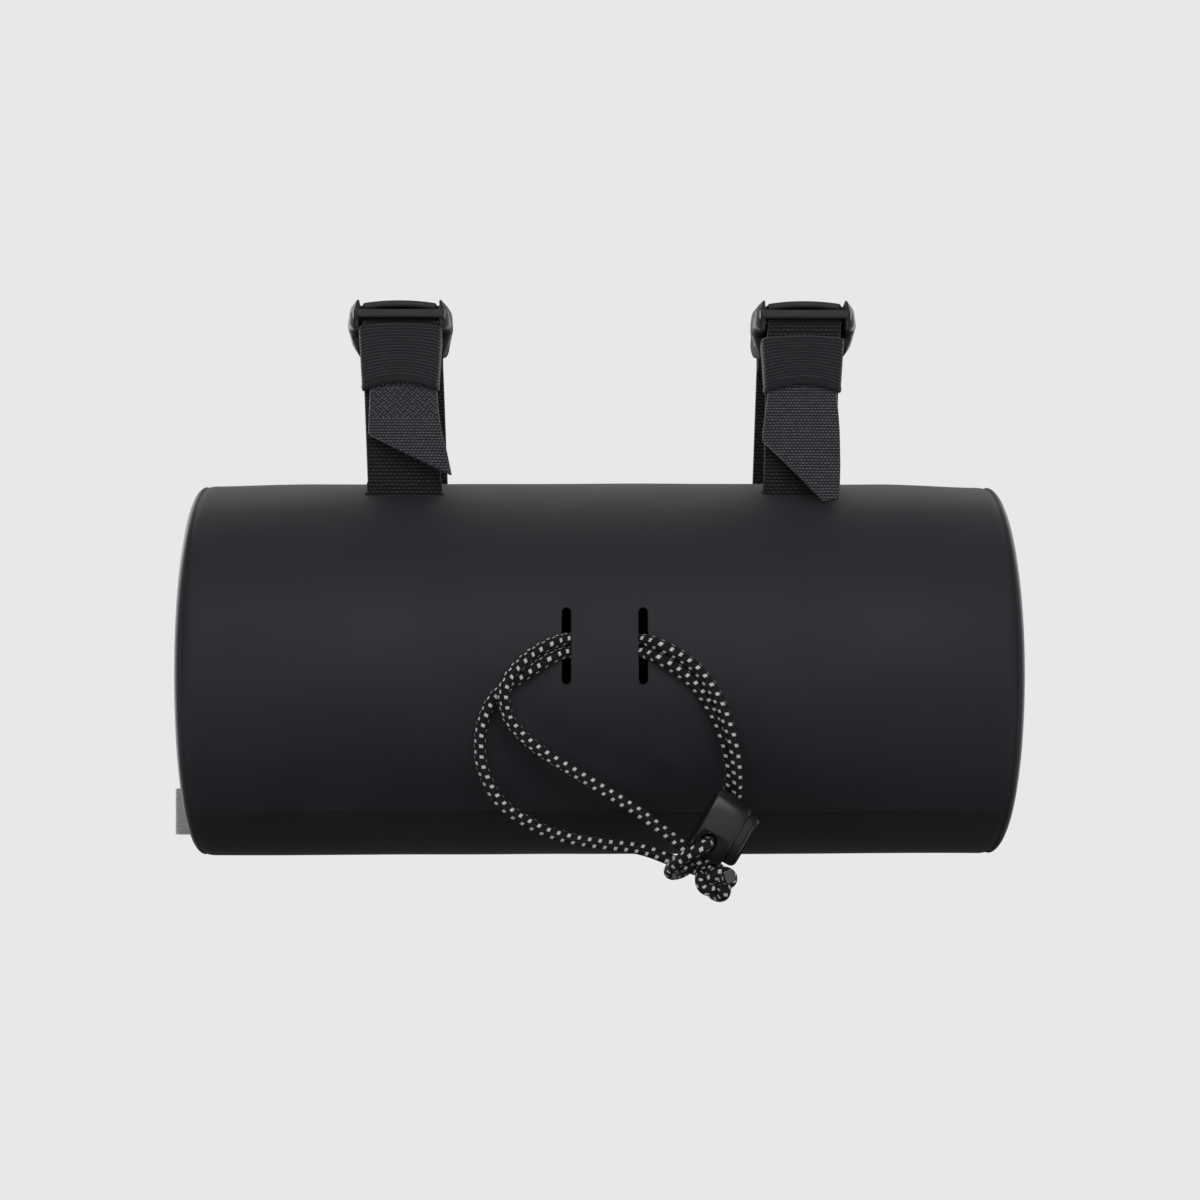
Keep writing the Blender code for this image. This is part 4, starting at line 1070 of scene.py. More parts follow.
@dataclass
class BagTube:
    """The shell, the base, both end caps, the front seam and the rims of the cord slots."""

    tube: TubeFrame
    seam_degrees: float = -46.0
    seam_gap: float = 0.17
    zip_degrees: float = 165.0
    zip_opening: float = 12.0 * MM
    cap_wall: float = 1.6 * MM
    cap_steps: int = 180
    slot_x: float = 9.75 * MM
    slot_width: float = 2.7 * MM
    slot_length: float = 20.0 * MM
    slot_rise: float = 7.6 * MM
    strap_x: float = 52.8 * MM
    web_leg_y: float = 17.3 * MM
    web_slot: tuple[float, float] = (20.9 * MM, 2.5 * MM)
    edge_roll: float = 0.5 * MM
    edge_roll_length: float = 2.2 * MM
    seam_roll: float = 0.45 * MM
    seam_roll_length: float = 0.9 * MM
    waviness: float = 0.4 * MM
    lift: float = 0.8 * MM
    lift_fades: float = 30 * MM
    strap_dent: float = 0.1 * MM
    strap_dent_half: float = 13 * MM
    stitch_pitch: float = 2.4 * MM
    stitch_length: float = 1.9 * MM
    stitch_radius: float = 0.16 * MM
    stitch_depth: float = 0.55 * MM
    stitch_drift: float = 0.12 * MM
    rim_radius: float = 0.2 * MM

    def cloth_radius(self, x: float, degrees: float, low: float, high: float) -> float:
        """Return how far the middle of the cloth lies from the axis.

        Args:
            x: place along the tube, from the tube's own middle.
            degrees: angle round the tube.
            low: angle of the panel's lower edge.
            high: angle of its other edge.

        Returns:
            The radius in metres.
        """
        radius = self.tube.radius - self.tube.wall / 2
        # slow waves some 7 cm long, and half as high ones of 3 cm
        wave = noise.noise(Vector((x * 14, degrees * 0.018, 3.1)))
        wave += 0.5 * noise.noise(Vector((x * 38, degrees * 0.05, 7.7)))
        radius += self.waviness * (wave - 0.5)
        from_end = self.tube.half - abs(x)
        up = max(0.0, math.sin(math.radians(degrees)))
        radius += self.lift * up ** 2 * ease(from_end / self.lift_fades)
        if from_end < self.edge_roll_length:
            radius -= self.edge_roll * (1 - from_end / self.edge_roll_length) ** 2.2
        for edge in (low, high):
            gap = abs(degrees - edge) * math.pi / 180 * self.tube.radius
            if gap < self.seam_roll_length:
                radius -= self.seam_roll * (1 - gap / self.seam_roll_length) ** 2
        for side in (-1, 1):
            aside = (x + self.tube.middle_x - side * self.strap_x) / self.strap_dent_half
            back = (degrees - 70.5) / 9.0
            radius -= self.strap_dent * math.exp(-(aside ** 4) - back ** 2)
        return radius

    def panel(self, name: str, low: float, high: float, across: int, along: int
              ) -> bpy.types.Object:
        """Make one cloth panel between two angles.

        Args:
            name: its name.
            low: angle of its lower edge, in degrees.
            high: angle of its other edge.
            across: number of faces along the tube.
            along: number of faces round it.

        Returns:
            The panel with its thickness.
        """
        half = self.tube.half

        def place(u: float, v: float) -> Vector:
            """Find a place on the cloth, with the faces closer together at its edges.

            Args:
                u: share of the way across the panel.
                v: share of the way round it.

            Returns:
                The place.
            """
            s = 2 * u - 1
            x = half * (0.62 * s + 0.38 * math.sin(math.pi / 2 * s))
            w = 2 * v - 1
            share = 0.5 + 0.5 * (0.55 * w + 0.45 * math.sin(math.pi / 2 * w))
            degrees = low + (high - low) * share
            return self.tube.point(x + self.tube.middle_x,
                                   self.cloth_radius(x, degrees, low, high), degrees)

        arc = math.radians(high - low) * self.tube.radius
        piece = lay_grid(name, across, along, place, (2 * half / MM, arc / MM))
        give_wall(piece, self.tube.wall - 0.3 * MM)
        take(piece)
        bpy.ops.object.modifier_apply(modifier="wall")
        turn_outwards(piece)
        return piece

    def slot_tool(self, place: Vector, size: tuple[float, float, float], axis: str,
                  radius: float) -> bpy.types.Object:
        """Make a block with rounded edges along one axis, to cut a slot with.

        Args:
            place: its middle.
            size: its three sides.
            axis: X, Y or Z, along which the rounded edges run.
            radius: of the rounding.

        Returns:
            The block.
        """
        clear_selection()
        bpy.ops.mesh.primitive_cube_add(size=1, location=place)
        tool = bpy.context.object
        tool.scale = size
        apply_place()
        number = "XYZ".index(axis)
        bevel_where(tool, lambda start, end: abs((end - start).normalized()[number]) > 0.99,
                    radius, 5)
        return tool

    @property
    def half_zip(self) -> float:
        """Return half the zip's opening, in degrees."""
        return math.degrees(self.zip_opening / 2 / self.tube.radius)

    def build_shell(self) -> bpy.types.Object:
        """Make the shell with its cord slots and strap slots.

        Returns:
            The shell.
        """
        shell = self.panel("shell_cloth", self.seam_degrees + self.seam_gap,
                           self.zip_degrees - self.half_zip, 150, 130)
        for side in (-1, 1):
            place = Vector((side * self.slot_x, -self.tube.radius,
                            self.slot_rise - self.tube.axis_drop))
            cut(shell, self.slot_tool(place, (self.slot_width, 20 * MM, self.slot_length), "Y",
                                      self.slot_width * 0.49))
            for face in (-1, 1):
                place = Vector((side * self.strap_x, face * self.web_leg_y,
                                self.tube.radius - self.tube.axis_drop))
                cut(shell, self.slot_tool(place, (*self.web_slot, 24 * MM), "Z", 0.5 * MM))
        return shell

    def build_base(self) -> bpy.types.Object:
        """Make the base below the front seam."""
        return self.panel("base_cloth", self.zip_degrees + self.half_zip,
                          self.seam_degrees + 360 - self.seam_gap, 150, 90)

    def build_cap(self, side: Side) -> bpy.types.Object:
        """Make one end: a rolled rim sewn to the tube and a slightly domed disc.

        Args:
            side: which end.

        Returns:
            The cap.
        """
        rim_x = self.tube.half + self.tube.gap
        profile = [(rim_x + out * MM, r) for out, r in CAP_PROFILE]
        inner = [(x - self.cap_wall, r) for x, r in profile[6:]]
        loop = profile[::-1] + [(rim_x - 0.1 * MM, 47.2)] + inner
        centre = Vector((self.tube.middle_x, 0, -self.tube.axis_drop))

        def place(u: float, v: float) -> Vector:
            """Find a place on the cap.

            Args:
                u: share of the way round the cap.
                v: share of the way along its section.

            Returns:
                The place.
            """
            x, r = loop[round(v * (len(loop) - 1))]
            turn = u * 2 * math.pi
            c, s = math.cos(turn), math.sin(turn)
            r_wave = r * MM + min(r / 400, 0.12) * MM * noise.noise(Vector((c * 2, s * 2, 1.7)))
            if r < 44:
                x += 0.25 * MM * noise.noise(Vector((c * r / 22, s * r / 22, 5.0)))
            return centre + Vector((side.sign * x, -r_wave * c, r_wave * s))

        cap = lay_grid(f"end_cap_cloth_{side.value}", self.cap_steps, len(loop) - 1, place,
                       (1.0, 1.0), closed=True)
        close_ends(cap)
        return cap

    def build_stitches(self) -> bpy.types.Object:
        """Make the row of sunk stitches along the front seam.

        Returns:
            All the stitches as one piece.
        """
        clear_selection()
        bpy.ops.mesh.primitive_uv_sphere_add(segments=8, ring_count=6, radius=self.stitch_radius)
        stitch = bpy.context.object
        stitch.name = "seam_stitches"
        stitch.scale = (self.stitch_length / 2 / self.stitch_radius, 1.0, 1.0)
        apply_place()
        count = int((2 * self.tube.half - 6 * MM) / self.stitch_pitch)
        repeat_along(stitch, count, self.stitch_pitch)
        start = self.tube.middle_x - (count - 1) * self.stitch_pitch / 2
        stitch.location = self.tube.point(start, self.tube.radius - self.stitch_depth,
                                          self.seam_degrees + 0.9)
        settle(stitch)
        for vertex in stitch.data.vertices:
            number = round((vertex.co.x - start) / self.stitch_pitch)
            drift = noise.noise(Vector((number * 0.77, 2.0, 0.0)))
            vertex.co += self.tube.out(self.seam_degrees) * drift * self.stitch_drift
            vertex.co.z += self.stitch_drift * noise.noise(Vector((number * 1.31, 9.0, 4.0)))
        return stitch

    def build_slot_rim(self, side: Side) -> bpy.types.Object:
        """Make the thin rolled rim round one cord slot.

        Args:
            side: which slot.

        Returns:
            The rim.
        """
        half_straight = self.slot_length / 2 - self.slot_width / 2
        radius = self.slot_width / 2
        points = []
        for end, first in ((half_straight, 0.0), (-half_straight, math.pi)):
            for step in range(17):
                turn = first + math.pi * step / 16
                height = self.slot_rise + end + radius * math.sin(turn)
                degrees = math.degrees(math.asin(height / self.tube.radius))
                points.append(self.tube.point(side.sign * self.slot_x + radius * math.cos(turn),
                                              self.tube.radius - 0.3 * MM, degrees))
        line = even_points(points + [points[0]], 0.8 * MM)[:-1]
        return lay_tube(f"slot_rim_{side.value}", line, self.rim_radius, 8, closed=True)

    def build(self) -> None:
        """Build and dress the tube."""
        # the base's darker cloth is painted shade
        shell_finish, shaded_base_finish, edge_finish = (SHELL_CLOTH.build(), SHADED_BASE_CLOTH.build(),
                                                  EDGE_CLOTH.build())
        dress(settle(self.build_shell(), 40), [shell_finish], "coated_cloth", "shell_panel")
        dress(settle(self.build_base(), 40), [shaded_base_finish], "coated_cloth", "base_panel")
        for side in Side:
            dress(settle(self.build_cap(side), 40), [edge_finish], "edge_cloth",
                  f"end_cap_{side.value}")
            dress(settle(self.build_slot_rim(side)), [shell_finish], "coated_cloth")
        dress(self.build_stitches(), [THREAD.build()], "coated_cloth")


# The cord


@dataclass
class ShockCord:
    """The one piece of shock cord and its stopper knot."""

    diameter: float = 3.0 * MM
    ring_step: float = 0.6 * MM
    around: int = 16
    twist_per_mm: float = 0.0015
    knot_centre: tuple[float, float, float] = (28.0 * MM, -53.0 * MM, -118.7 * MM)
    knot_ring: float = 2.6 * MM
    knot_weave: float = 1.15 * MM
    knot_radius: float = 1.75 * MM
    knot_tilt: tuple[float, float] = (20.0, -14.0)
    end_at: tuple[float, float, float] = (3.1 * MM, -5.9 * MM, 1.9 * MM)

    def line(self) -> list[Vector]:
        """Return the cord's middle line, evenly spaced."""
        return even_points(smooth_through([Vector(p) * MM for p in CORD_ROUTE]), self.ring_step)

    def build_cord(self) -> tuple[bpy.types.Object, list[Vector]]:
        """Make the cord.

        Returns:
            The cord and its middle line.
        """
        line = self.line()
        cord = lay_tube("shock_cord_braid", line, self.diameter / 2, self.around,
                        twist_per_mm=self.twist_per_mm)
        return settle(cord, 60), line

    def build_knot(self) -> bpy.types.Object:
        """Make the knot: the cord's own turns drawn tight, with its cut end standing out.

        Returns:
            The knot.
        """
        centre = Vector(self.knot_centre)
        tilt = (Matrix.Rotation(math.radians(self.knot_tilt[0]), 3, "X")
                @ Matrix.Rotation(math.radians(self.knot_tilt[1]), 3, "Z"))
        turns = []
        for step in range(180):
            t = 2 * math.pi * step / 180
            reach = self.knot_ring + self.knot_weave * math.cos(3 * t)
            place = Vector((reach * math.cos(2 * t + 0.6), -1.5 * self.knot_weave * math.sin(3 * t),
                            reach * math.sin(2 * t + 0.6)))
            turns.append(centre + tilt @ place)
        line = even_points(turns + [turns[0]], 0.5 * MM)[:-1]
        body = lay_tube("stopper_knot", line, self.knot_radius, self.around, closed=True)
        out = Vector(self.end_at)
        stub = lay_tube("cut_end", even_points([centre, centre + out], 0.4 * MM),
                        self.diameter / 2 + 0.1 * MM, 20)
        leads = []
        for end in (CORD_ROUTE[0], CORD_ROUTE[-1]):
            lead = even_points([Vector(end) * MM, centre], 0.5 * MM)
            leads.append(settle(lay_tube("lead", lead, self.diameter / 2, self.around), 60))
        settle(body, 60)
        settle(stub, 50)
        knot = join("stopper_knot", [body, stub, *leads])
        # the disc of the cut end gets the second material
        for face in knot.data.polygons:
            at_end = (face.center - centre - out).length < 0.2 * MM
            face.material_index = 1 if at_end and len(face.vertices) > 4 else 0
        return knot

    def build(self, lock_pieces: Sequence[bpy.types.Object]) -> None:
        """Args:
            lock_pieces: the cord lock's pieces, which hang on the cord; not used.
        """
        cord, line = self.build_cord()
        dress(cord, [CORD_SLEEVE.build()], "cord_cloth", "shock_cord")
        knot = dress(self.build_knot(), [KNOT_SLEEVE.build(), CUT_CORD.build()], "cord_cloth",
                     "cord_knot")
        tuple(line[0])
        length_of(line)
        [tuple(p) for p in line[::6]]


@dataclass
class CordLock:
    """The sleeve and the push button of the cord lock."""

    centre: tuple[float, float, float] = (29.2 * MM, -54.5 * MM, -104.6 * MM)
    tilt_degrees: float = 30.0
    axial: float = 9.8 * MM
    long: float = 17.4 * MM
    depth: float = 8.8 * MM
    squareness: float = 0.7
    steps: int = 72
    wall: float = 1.2 * MM
    floor: float = 1.6 * MM
    hole: float = 5.4 * MM
    hole_long: float = 4.8 * MM
    hole_axial: float = -1.2 * MM
    reach: float = 3.3 * MM
    sleeve_rim: float = 0.9 * MM
    button_rim: float = 1.5 * MM
    shift: tuple[float, float, float] = (-0.45 * MM, 0.0, -0.5 * MM)
    gap: float = 0.3 * MM

    def frame(self) -> Matrix:
        """Set the lock's own frame: X along the button's travel, Z up its length.

        Returns:
            The frame in the shared one.
        """
        return (Matrix.Translation(self.centre)
                @ Matrix.Rotation(math.radians(self.tilt_degrees), 4, "Y")
                @ Matrix.Translation(self.shift))

    def block(self, name: str, size: tuple[float, float, float], rim: float,
              middle_x: float) -> bpy.types.Object:
        """Make an oval block along the lock's axis, with softened rims.

        Args:
            name: its name.
            size: along the axis, through it and up it.
            rim: radius of the rims at both ends of the axis.
            middle_x: its middle along the axis.

        Returns:
            The block in the lock's own frame.
        """
        clear_selection()
        bpy.ops.mesh.primitive_cylinder_add(vertices=self.steps, radius=1, depth=size[0],
                                            rotation=(0, math.pi / 2, 0))
        block = bpy.context.object
        block.name = name
        apply_place()
        for vertex in block.data.vertices:
            through, up = vertex.co.y, vertex.co.z
            vertex.co.y = math.copysign(abs(through) ** self.squareness, through) * size[1] / 2
            vertex.co.z = math.copysign(abs(up) ** self.squareness, up) * size[2] / 2
        if rim > 0:
            bevel_where(block, lambda start, end: abs(end.x - start.x) < 1e-7, rim, 5)
        block.location.x = middle_x
        apply_place()
        return block

    def hole_tool(self) -> bpy.types.Object:
        """Make the cutter for the cord's hole.

        Returns:
            A round bar through the lock.
        """
        clear_selection()
        bpy.ops.mesh.primitive_cylinder_add(vertices=40, radius=self.hole / 2, depth=3 * self.depth,
                                            location=(self.hole_axial, 0, -self.hole_long),
                                            rotation=(math.pi / 2, 0, 0))
        apply_place()
        return bpy.context.object

    def build(self) -> list[bpy.types.Object]:
        """Build and dress the lock.

        Returns:
            The sleeve and the button.
        """
        body = self.block("lock_sleeve", (self.axial, self.depth, self.long), self.sleeve_rim, 0)
        both_walls = 2 * self.wall
        room = self.block("room", (self.axial, self.depth - both_walls, self.long - both_walls),
                          0, self.floor)
        cut(body, room)
        cut(body, self.hole_tool())
        slim = 2 * (self.wall + self.gap)
        inner_end = -self.axial / 2 + self.floor + self.gap
        outer_end = self.axial / 2 + self.reach
        button = self.block("lock_button",
                            (outer_end - inner_end, self.depth - slim, self.long - slim),
                            self.button_rim, (outer_end + inner_end) / 2)
        cut(button, self.hole_tool())
        finish = LOCK_ACETAL.build()
        pieces = []
        for piece, node in ((body, "cord_lock_body"), (button, "cord_lock_button")):
            soften_edges(piece, 0.22 * MM, 2, 50)
            piece.matrix_world = self.frame()
            pieces.append(dress(settle(piece, 30), [finish], "lock_plastic", node))
        return pieces


# Straps, buckles and keepers


@dataclass(frozen=True)
class BuckleFrame:
    """Sizes that the straps and the buckles share."""

    bar_radius: float = 15.9 * MM
    bar_clearance: float = 0.6 * MM
    web_width: float = 20.0 * MM
    web: float = 1.6 * MM
    web_gap: float = 0.5 * MM
    gap: float = 0.3 * MM
    height: float = 14.6 * MM
    over_bar: float = 1.7 * MM
    rail_clearance: float = 0.65 * MM
    rail_width: float = 3.5 * MM
    grip_radius: float = 1.3 * MM
    rear_radius: float = 1.5 * MM
    lip_set_back: float = 0.2 * MM

    @property
    def leg(self) -> float:
        """Return how far the legs stand from the bar's axis."""
        return self.bar_radius + self.bar_clearance + self.web / 2

    @property
    def tail(self) -> float:
        """Return the y of the tail."""
        return -(self.leg + self.web + self.web_gap)

    @property
    def front(self) -> float:
        """Return the y of the buckle's front."""
        return self.tail - self.web / 2 + self.lip_set_back

    @property
    def base(self) -> float:
        """Return the z of the buckle's underside."""
        return self.bar_radius + self.over_bar

    @property
    def grip(self) -> tuple[float, float]:
        """Return the y and z of the grip bar."""
        return (self.front + 12.0 * MM, self.base + 6.4 * MM)

    @property
    def rear(self) -> tuple[float, float]:
        """Return the y and z of the rear bar."""
        return (self.leg - self.rear_radius - self.gap - self.web / 2, self.base + 4.6 * MM)

    @property
    def length(self) -> float:
        """Return the buckle's length from front to back."""
        return self.rear[0] + 2.8 * MM - self.front


# a cheek's outline seen from the side: shares of the buckle's length and height
RAIL_OUTLINE = (
    (0.00, 0.42), (0.00, 0.78), (0.035, 1.00), (0.10, 0.97), (0.2, 0.905), (0.38, 0.83),
    (0.563, 0.76), (0.75, 0.69), (0.887, 0.62), (0.975, 0.53), (1.00, 0.40), (0.985, 0.26),
    (0.93, 0.17), (0.80, 0.13), (0.676, 0.09), (0.5, 0.04), (0.34, 0.00), (0.235, 0.04),
    (0.20, 0.18), (0.186, 0.36), (0.10, 0.40),
)
# its thickness as a share of the full one, along the buckle's length and up its height
RAIL_FLARE = ((0.0, 0.5), (0.05, 0.78), (0.13, 1.0), (0.28, 0.96), (0.54, 0.64), (0.8, 0.45),
              (1.0, 0.34))
RAIL_BELLY = ((0.0, 0.28), (0.12, 0.5), (0.28, 0.85), (0.42, 1.0), (0.65, 1.0), (0.85, 0.85),
              (1.0, 0.7))


@dataclass
class Strap:
    """One strap with its keeper and its buckle.

    tail_edges gives the x of the tail's two edges at some heights, each row a height, the left
    edge and the right edge in mm.
    """

    side: Side
    sizes: BuckleFrame
    tube: TubeFrame
    bag_x: float
    keeper_x: float
    buckle_x: float
    keeper_top: float
    keeper_bottom: float
    tail_end: float
    cut_rise: float
    cut_x: float
    tail_edges: tuple[tuple[float, float, float], ...]
    chevrons_to: float = -1.0
    tail_lean: float = 5.6 * MM
    tail_bow: float = 0.55 * MM
    tail_ripple: float = 0.25 * MM
    fold_end: float = 16.4 * MM
    sag_inside: float = 0.7 * MM
    keeper_wall: float = 1.0 * MM
    keeper_arch: float = 2.2 * MM
    keeper_back_top: float = 19.6 * MM
    keeper_taper: float = 0.9 * MM
    keeper_corner: float = 1.1 * MM
    keeper_rib: float = 0.1 * MM
    keeper_pitch: float = 0.9 * MM
    keeper_crown: float = 0.35 * MM
    hem_swell: float = 0.34 * MM
    hem: float = 1.4 * MM
    web_step: float = 0.24 * MM
    rib: float = 0.1 * MM
    rib_pitch: float = 0.96 * MM
    rail_rounding: float = 2.3 * MM
    plate_bow: float = 0.8 * MM
    voxel: float = 0.26 * MM
    section: tuple[tuple[float, float], ...] = field(init=False)

    def __post_init__(self) -> None:
        """Work out the webbing's cross section, as shares of its half width and half thickness."""
        top = []
        for step in range(15):
            w = -0.97 + 1.94 * step / 14
            top.append((w, 1.0 - 0.3 * abs(w) ** 18))
        bottom = [(-w, -t) for w, t in top]
        self.section = (*top, (1.0, 0.35), (1.0, -0.35), *bottom, (-1.0, -0.35), (-1.0, 0.35))

    def path(self) -> list[Vector]:
        """Lay out the strap's middle line in the YZ plane.

        Returns:
            Its points, from the sewn fold to the end of the tail.
        """
        at = self.sizes
        leg, web = at.leg, at.web / 2
        turn_grip = at.grip_radius + at.gap + web
        turn_rear = at.rear_radius + at.gap + web
        rear_y, rear_z = at.rear
        grip_y, grip_z = at.grip
        inside = self.tube.radius - self.tube.wall - self.sag_inside - web
        corner_z = math.sqrt(inside ** 2 - leg ** 2) - self.tube.axis_drop
        corners = [
            (leg - at.web - at.gap, self.fold_end, 0),
            (rear_y - turn_rear, rear_z - turn_rear * 0.6, 1.5 * MM),
            (rear_y - turn_rear, rear_z + turn_rear, turn_rear * 0.95),
            (leg, rear_z + turn_rear, turn_rear * 0.95),
            (leg, corner_z, 1.5 * MM),
        ]
        for share in (0.5, 0.0, -0.5):
            y = leg * share
            corners.append((y, math.sqrt(inside ** 2 - y ** 2) - self.tube.axis_drop, 6 * MM))
        corners += [
            (-leg, corner_z, 1.5 * MM),
            (-leg, grip_z - turn_grip, 1.5 * MM),
            (grip_y + turn_grip, grip_z - turn_grip, turn_grip * 0.98),
            (grip_y + turn_grip, grip_z + turn_grip, turn_grip * 0.98),
            (at.tail, grip_z + turn_grip, 3.8 * MM),
            (at.tail, self.keeper_bottom, 20 * MM),
            (at.tail - self.tail_lean, self.tail_end, 0),
        ]
        return even_points(round_corners(corners), self.web_step)

    def band_edges(self, spot: Vector, on_tail: bool) -> tuple[float, float]:
        """Find the band's edges at a place on its path.

        Args:
            spot: the place.
            on_tail: whether it is on the tail.

        Returns:
            The x of the left and of the right edge.
        """
        half = self.sizes.web_width / 2
        if on_tail and spot.z < self.keeper_bottom + 3 * MM:
            rows = sorted(self.tail_edges)
            left = interpolate(spot.z / MM, [(z, low) for z, low, _ in rows]) * MM
            right = interpolate(spot.z / MM, [(z, high) for z, _, high in rows]) * MM
            blend = ease((self.keeper_bottom + 3 * MM - spot.z) / (3 * MM))
            return (self.keeper_x - half + (left - self.keeper_x + half) * blend,
                    self.keeper_x + half + (right - self.keeper_x - half) * blend)
        bag_top = self.tube.radius - self.tube.axis_drop
        over_grip = self.sizes.grip[1] + self.sizes.grip_radius + self.sizes.web
        places = [(bag_top, self.bag_x), (self.keeper_bottom, self.keeper_x),
                  (self.keeper_back_top, self.keeper_x), (over_grip, self.buckle_x)]
        if spot.y > self.sizes.grip[0] + half:
            places = [(bag_top, self.bag_x), (self.sizes.base, self.buckle_x)]
        middle = interpolate(spot.z, places)
        if spot.y < -self.sizes.leg + 1 * MM and spot.z > bag_top:
            half *= 0.975
        return middle - half, middle + half

    def build_strap(self) -> bpy.types.Object:
        """Make the webbing as one band, its ribs modelled where its back shows.

        Returns:
            The band.
        """
        line = self.path()
        runs = [0.0]
        for before, here in zip(line, line[1:]):
            runs.append(runs[-1] + (here - before).length)
        total = runs[-1]
        highest = max(range(len(line)), key=lambda i: (line[i].y < self.sizes.grip[0]) * line[i].z)
        tail_from = next(i for i in range(highest, len(line))
                         if line[i].z < self.keeper_bottom + 8 * MM)
        tail_run = runs[tail_from]
        fall = math.hypot(self.tail_lean, self.keeper_bottom - self.tail_end)
        steep = fall / (self.keeper_bottom - self.tail_end)

        def end_run(w: float) -> float:
            """Find where the slanted cut lies.

            Args:
                w: place across the band, -1 to 1.

            Returns:
                The length along the path at which the band ends there.
            """
            x = w * self.sizes.web_width / 2
            rise = self.cut_rise * (self.cut_x - x) / self.sizes.web_width if x < self.cut_x else (
                0.25 * (x - self.cut_x))
            return total - rise * steep

        def spot_at(run: float) -> tuple[Vector, Vector]:
            """Find a spot on the band's middle line.

            Args:
                run: length from the path's start, in metres.

            Returns:
                The place and the outward normal.
            """
            share = min(max(run / total, 0.0), 1.0) * (len(line) - 1)
            index = min(int(share), len(line) - 2)
            spot = line[index].lerp(line[index + 1], share - index)
            before, after = line[max(index - 1, 0)], line[min(index + 2, len(line) - 1)]
            tangent = (after - before).normalized()
            return spot, Vector((0, tangent.z, -tangent.y))

        rows = len(line) - 1
        count = len(self.section)
        tail_share = tail_from / rows

        def place(u: float, v: float) -> Vector:
            """Find a place on the band's skin.

            Args:
                u: share of the way round the section.
                v: share of the way along the band.

            Returns:
                The place.
            """
            w, t = self.section[round(u * count) % count]
            if v <= tail_share:
                run = v * total
            else:
                run = tail_run + (end_run(w) - tail_run) * (v - tail_share) / (1 - tail_share)
            spot, normal = spot_at(run)
            on_tail = run > tail_run
            low, high = self.band_edges(spot, on_tail)
            thick = self.sizes.web / 2
            if not on_tail:
                thick -= self.rib * (0.5 - 0.5 * math.cos(2 * math.pi * run / self.rib_pitch))
            x = (low + high) / 2 + w * (high - low) / 2
            bow = 0.0
            if on_tail:
                below = ease((self.keeper_bottom - spot.z) / (10 * MM))
                bow = self.tail_bow * below * (1 - w * w)
                ripple = noise.noise(Vector((x * 90, spot.z * 90, self.side.sign)))
                bow += self.tail_ripple * below * ripple
            return Vector((x, spot.y, spot.z)) - normal * (t * thick - bow)

        half_mm = self.sizes.web_width / 2 / MM
        widths = [0.0]
        for (w0, t0), (w1, t1) in zip(self.section, self.section[1:] + self.section[:1]):
            widths.append(widths[-1] + math.hypot((w1 - w0) * half_mm, (t1 - t0) * 0.8))
        strap = lay_grid(f"webbing_{self.side.value}", count, rows, place,
                         (widths[-1], total / MM), closed=True, widths=widths)
        close_ends(strap)
        # the rows of the tail lie straight across it, not along its slanted cut
        layer, vertices = strap.data.uv_layers[0].data, strap.data.vertices
        for loop in strap.data.loops:
            if layer[loop.index].uv.y > tail_run / MM:
                fallen = (line[tail_from].z - vertices[loop.vertex_index].co.z) * steep
                layer[loop.index].uv.y = (tail_run + fallen) / MM
        # the leg's faces keep material 0, the darker webbing that is painted shade
        for face in strap.data.polygons:
            face.material_index = 0
            if length_share(strap, face) * MM > tail_run:
                face.material_index = 2 if face.center.z > self.chevrons_to else 1
        return strap

    def keeper_outline(self, half: float, front: float, back: float) -> list[tuple[float, float]]:
        """Lay out the keeper's middle line as seen from above.

        Args:
            half: half its width.
            front: y of its front.
            back: y of its back.

        Returns:
            Points in x and y, from the left end of the front and on to the right.
        """
        corner = self.keeper_corner
        reach = half - corner
        middle = (front + back) / 2

        def bend(x: float, y: float, first: float) -> list[tuple[float, float]]:
            """Return a corner's points round its centre, after a first angle in degrees."""
            turns = [math.radians(first + 15 * step) for step in range(1, 6)]
            return [(x + corner * math.cos(t), y + corner * math.sin(t)) for t in turns]

        return [*((-reach + 2 * reach * step / 28, front) for step in range(29)),
                *bend(reach, front + corner, -90),
                (half, front + corner), (half, middle), (half, back - corner),
                *bend(reach, back - corner, 0),
                *((reach - 2 * reach * step / 14, back) for step in range(15)),
                *bend(-reach, back - corner, 90),
                (-half, back - corner), (-half, middle), (-half, front + corner),
                *bend(-reach, front + corner, 180)]

    def build_keeper(self) -> bpy.types.Object:
        """Make the ribbed elastic loop with its rolled lower hem.

        Returns:
            The keeper.
        """
        at = self.sizes
        off = at.web / 2 + 0.3 * MM + self.keeper_wall / 2
        front, back = at.tail - off, -at.leg + off
        half = at.web_width / 2 + 0.1 * MM + self.keeper_wall / 2
        flat = self.keeper_outline(half, front, back)
        count = len(flat)
        middle_y = (front + back) / 2
        tall = self.keeper_top - self.keeper_bottom
        widths = [0.0]
        for (x0, y0), (x1, y1) in zip(flat, flat[1:] + flat[:1]):
            widths.append(widths[-1] + math.hypot(x1 - x0, y1 - y0) / MM)

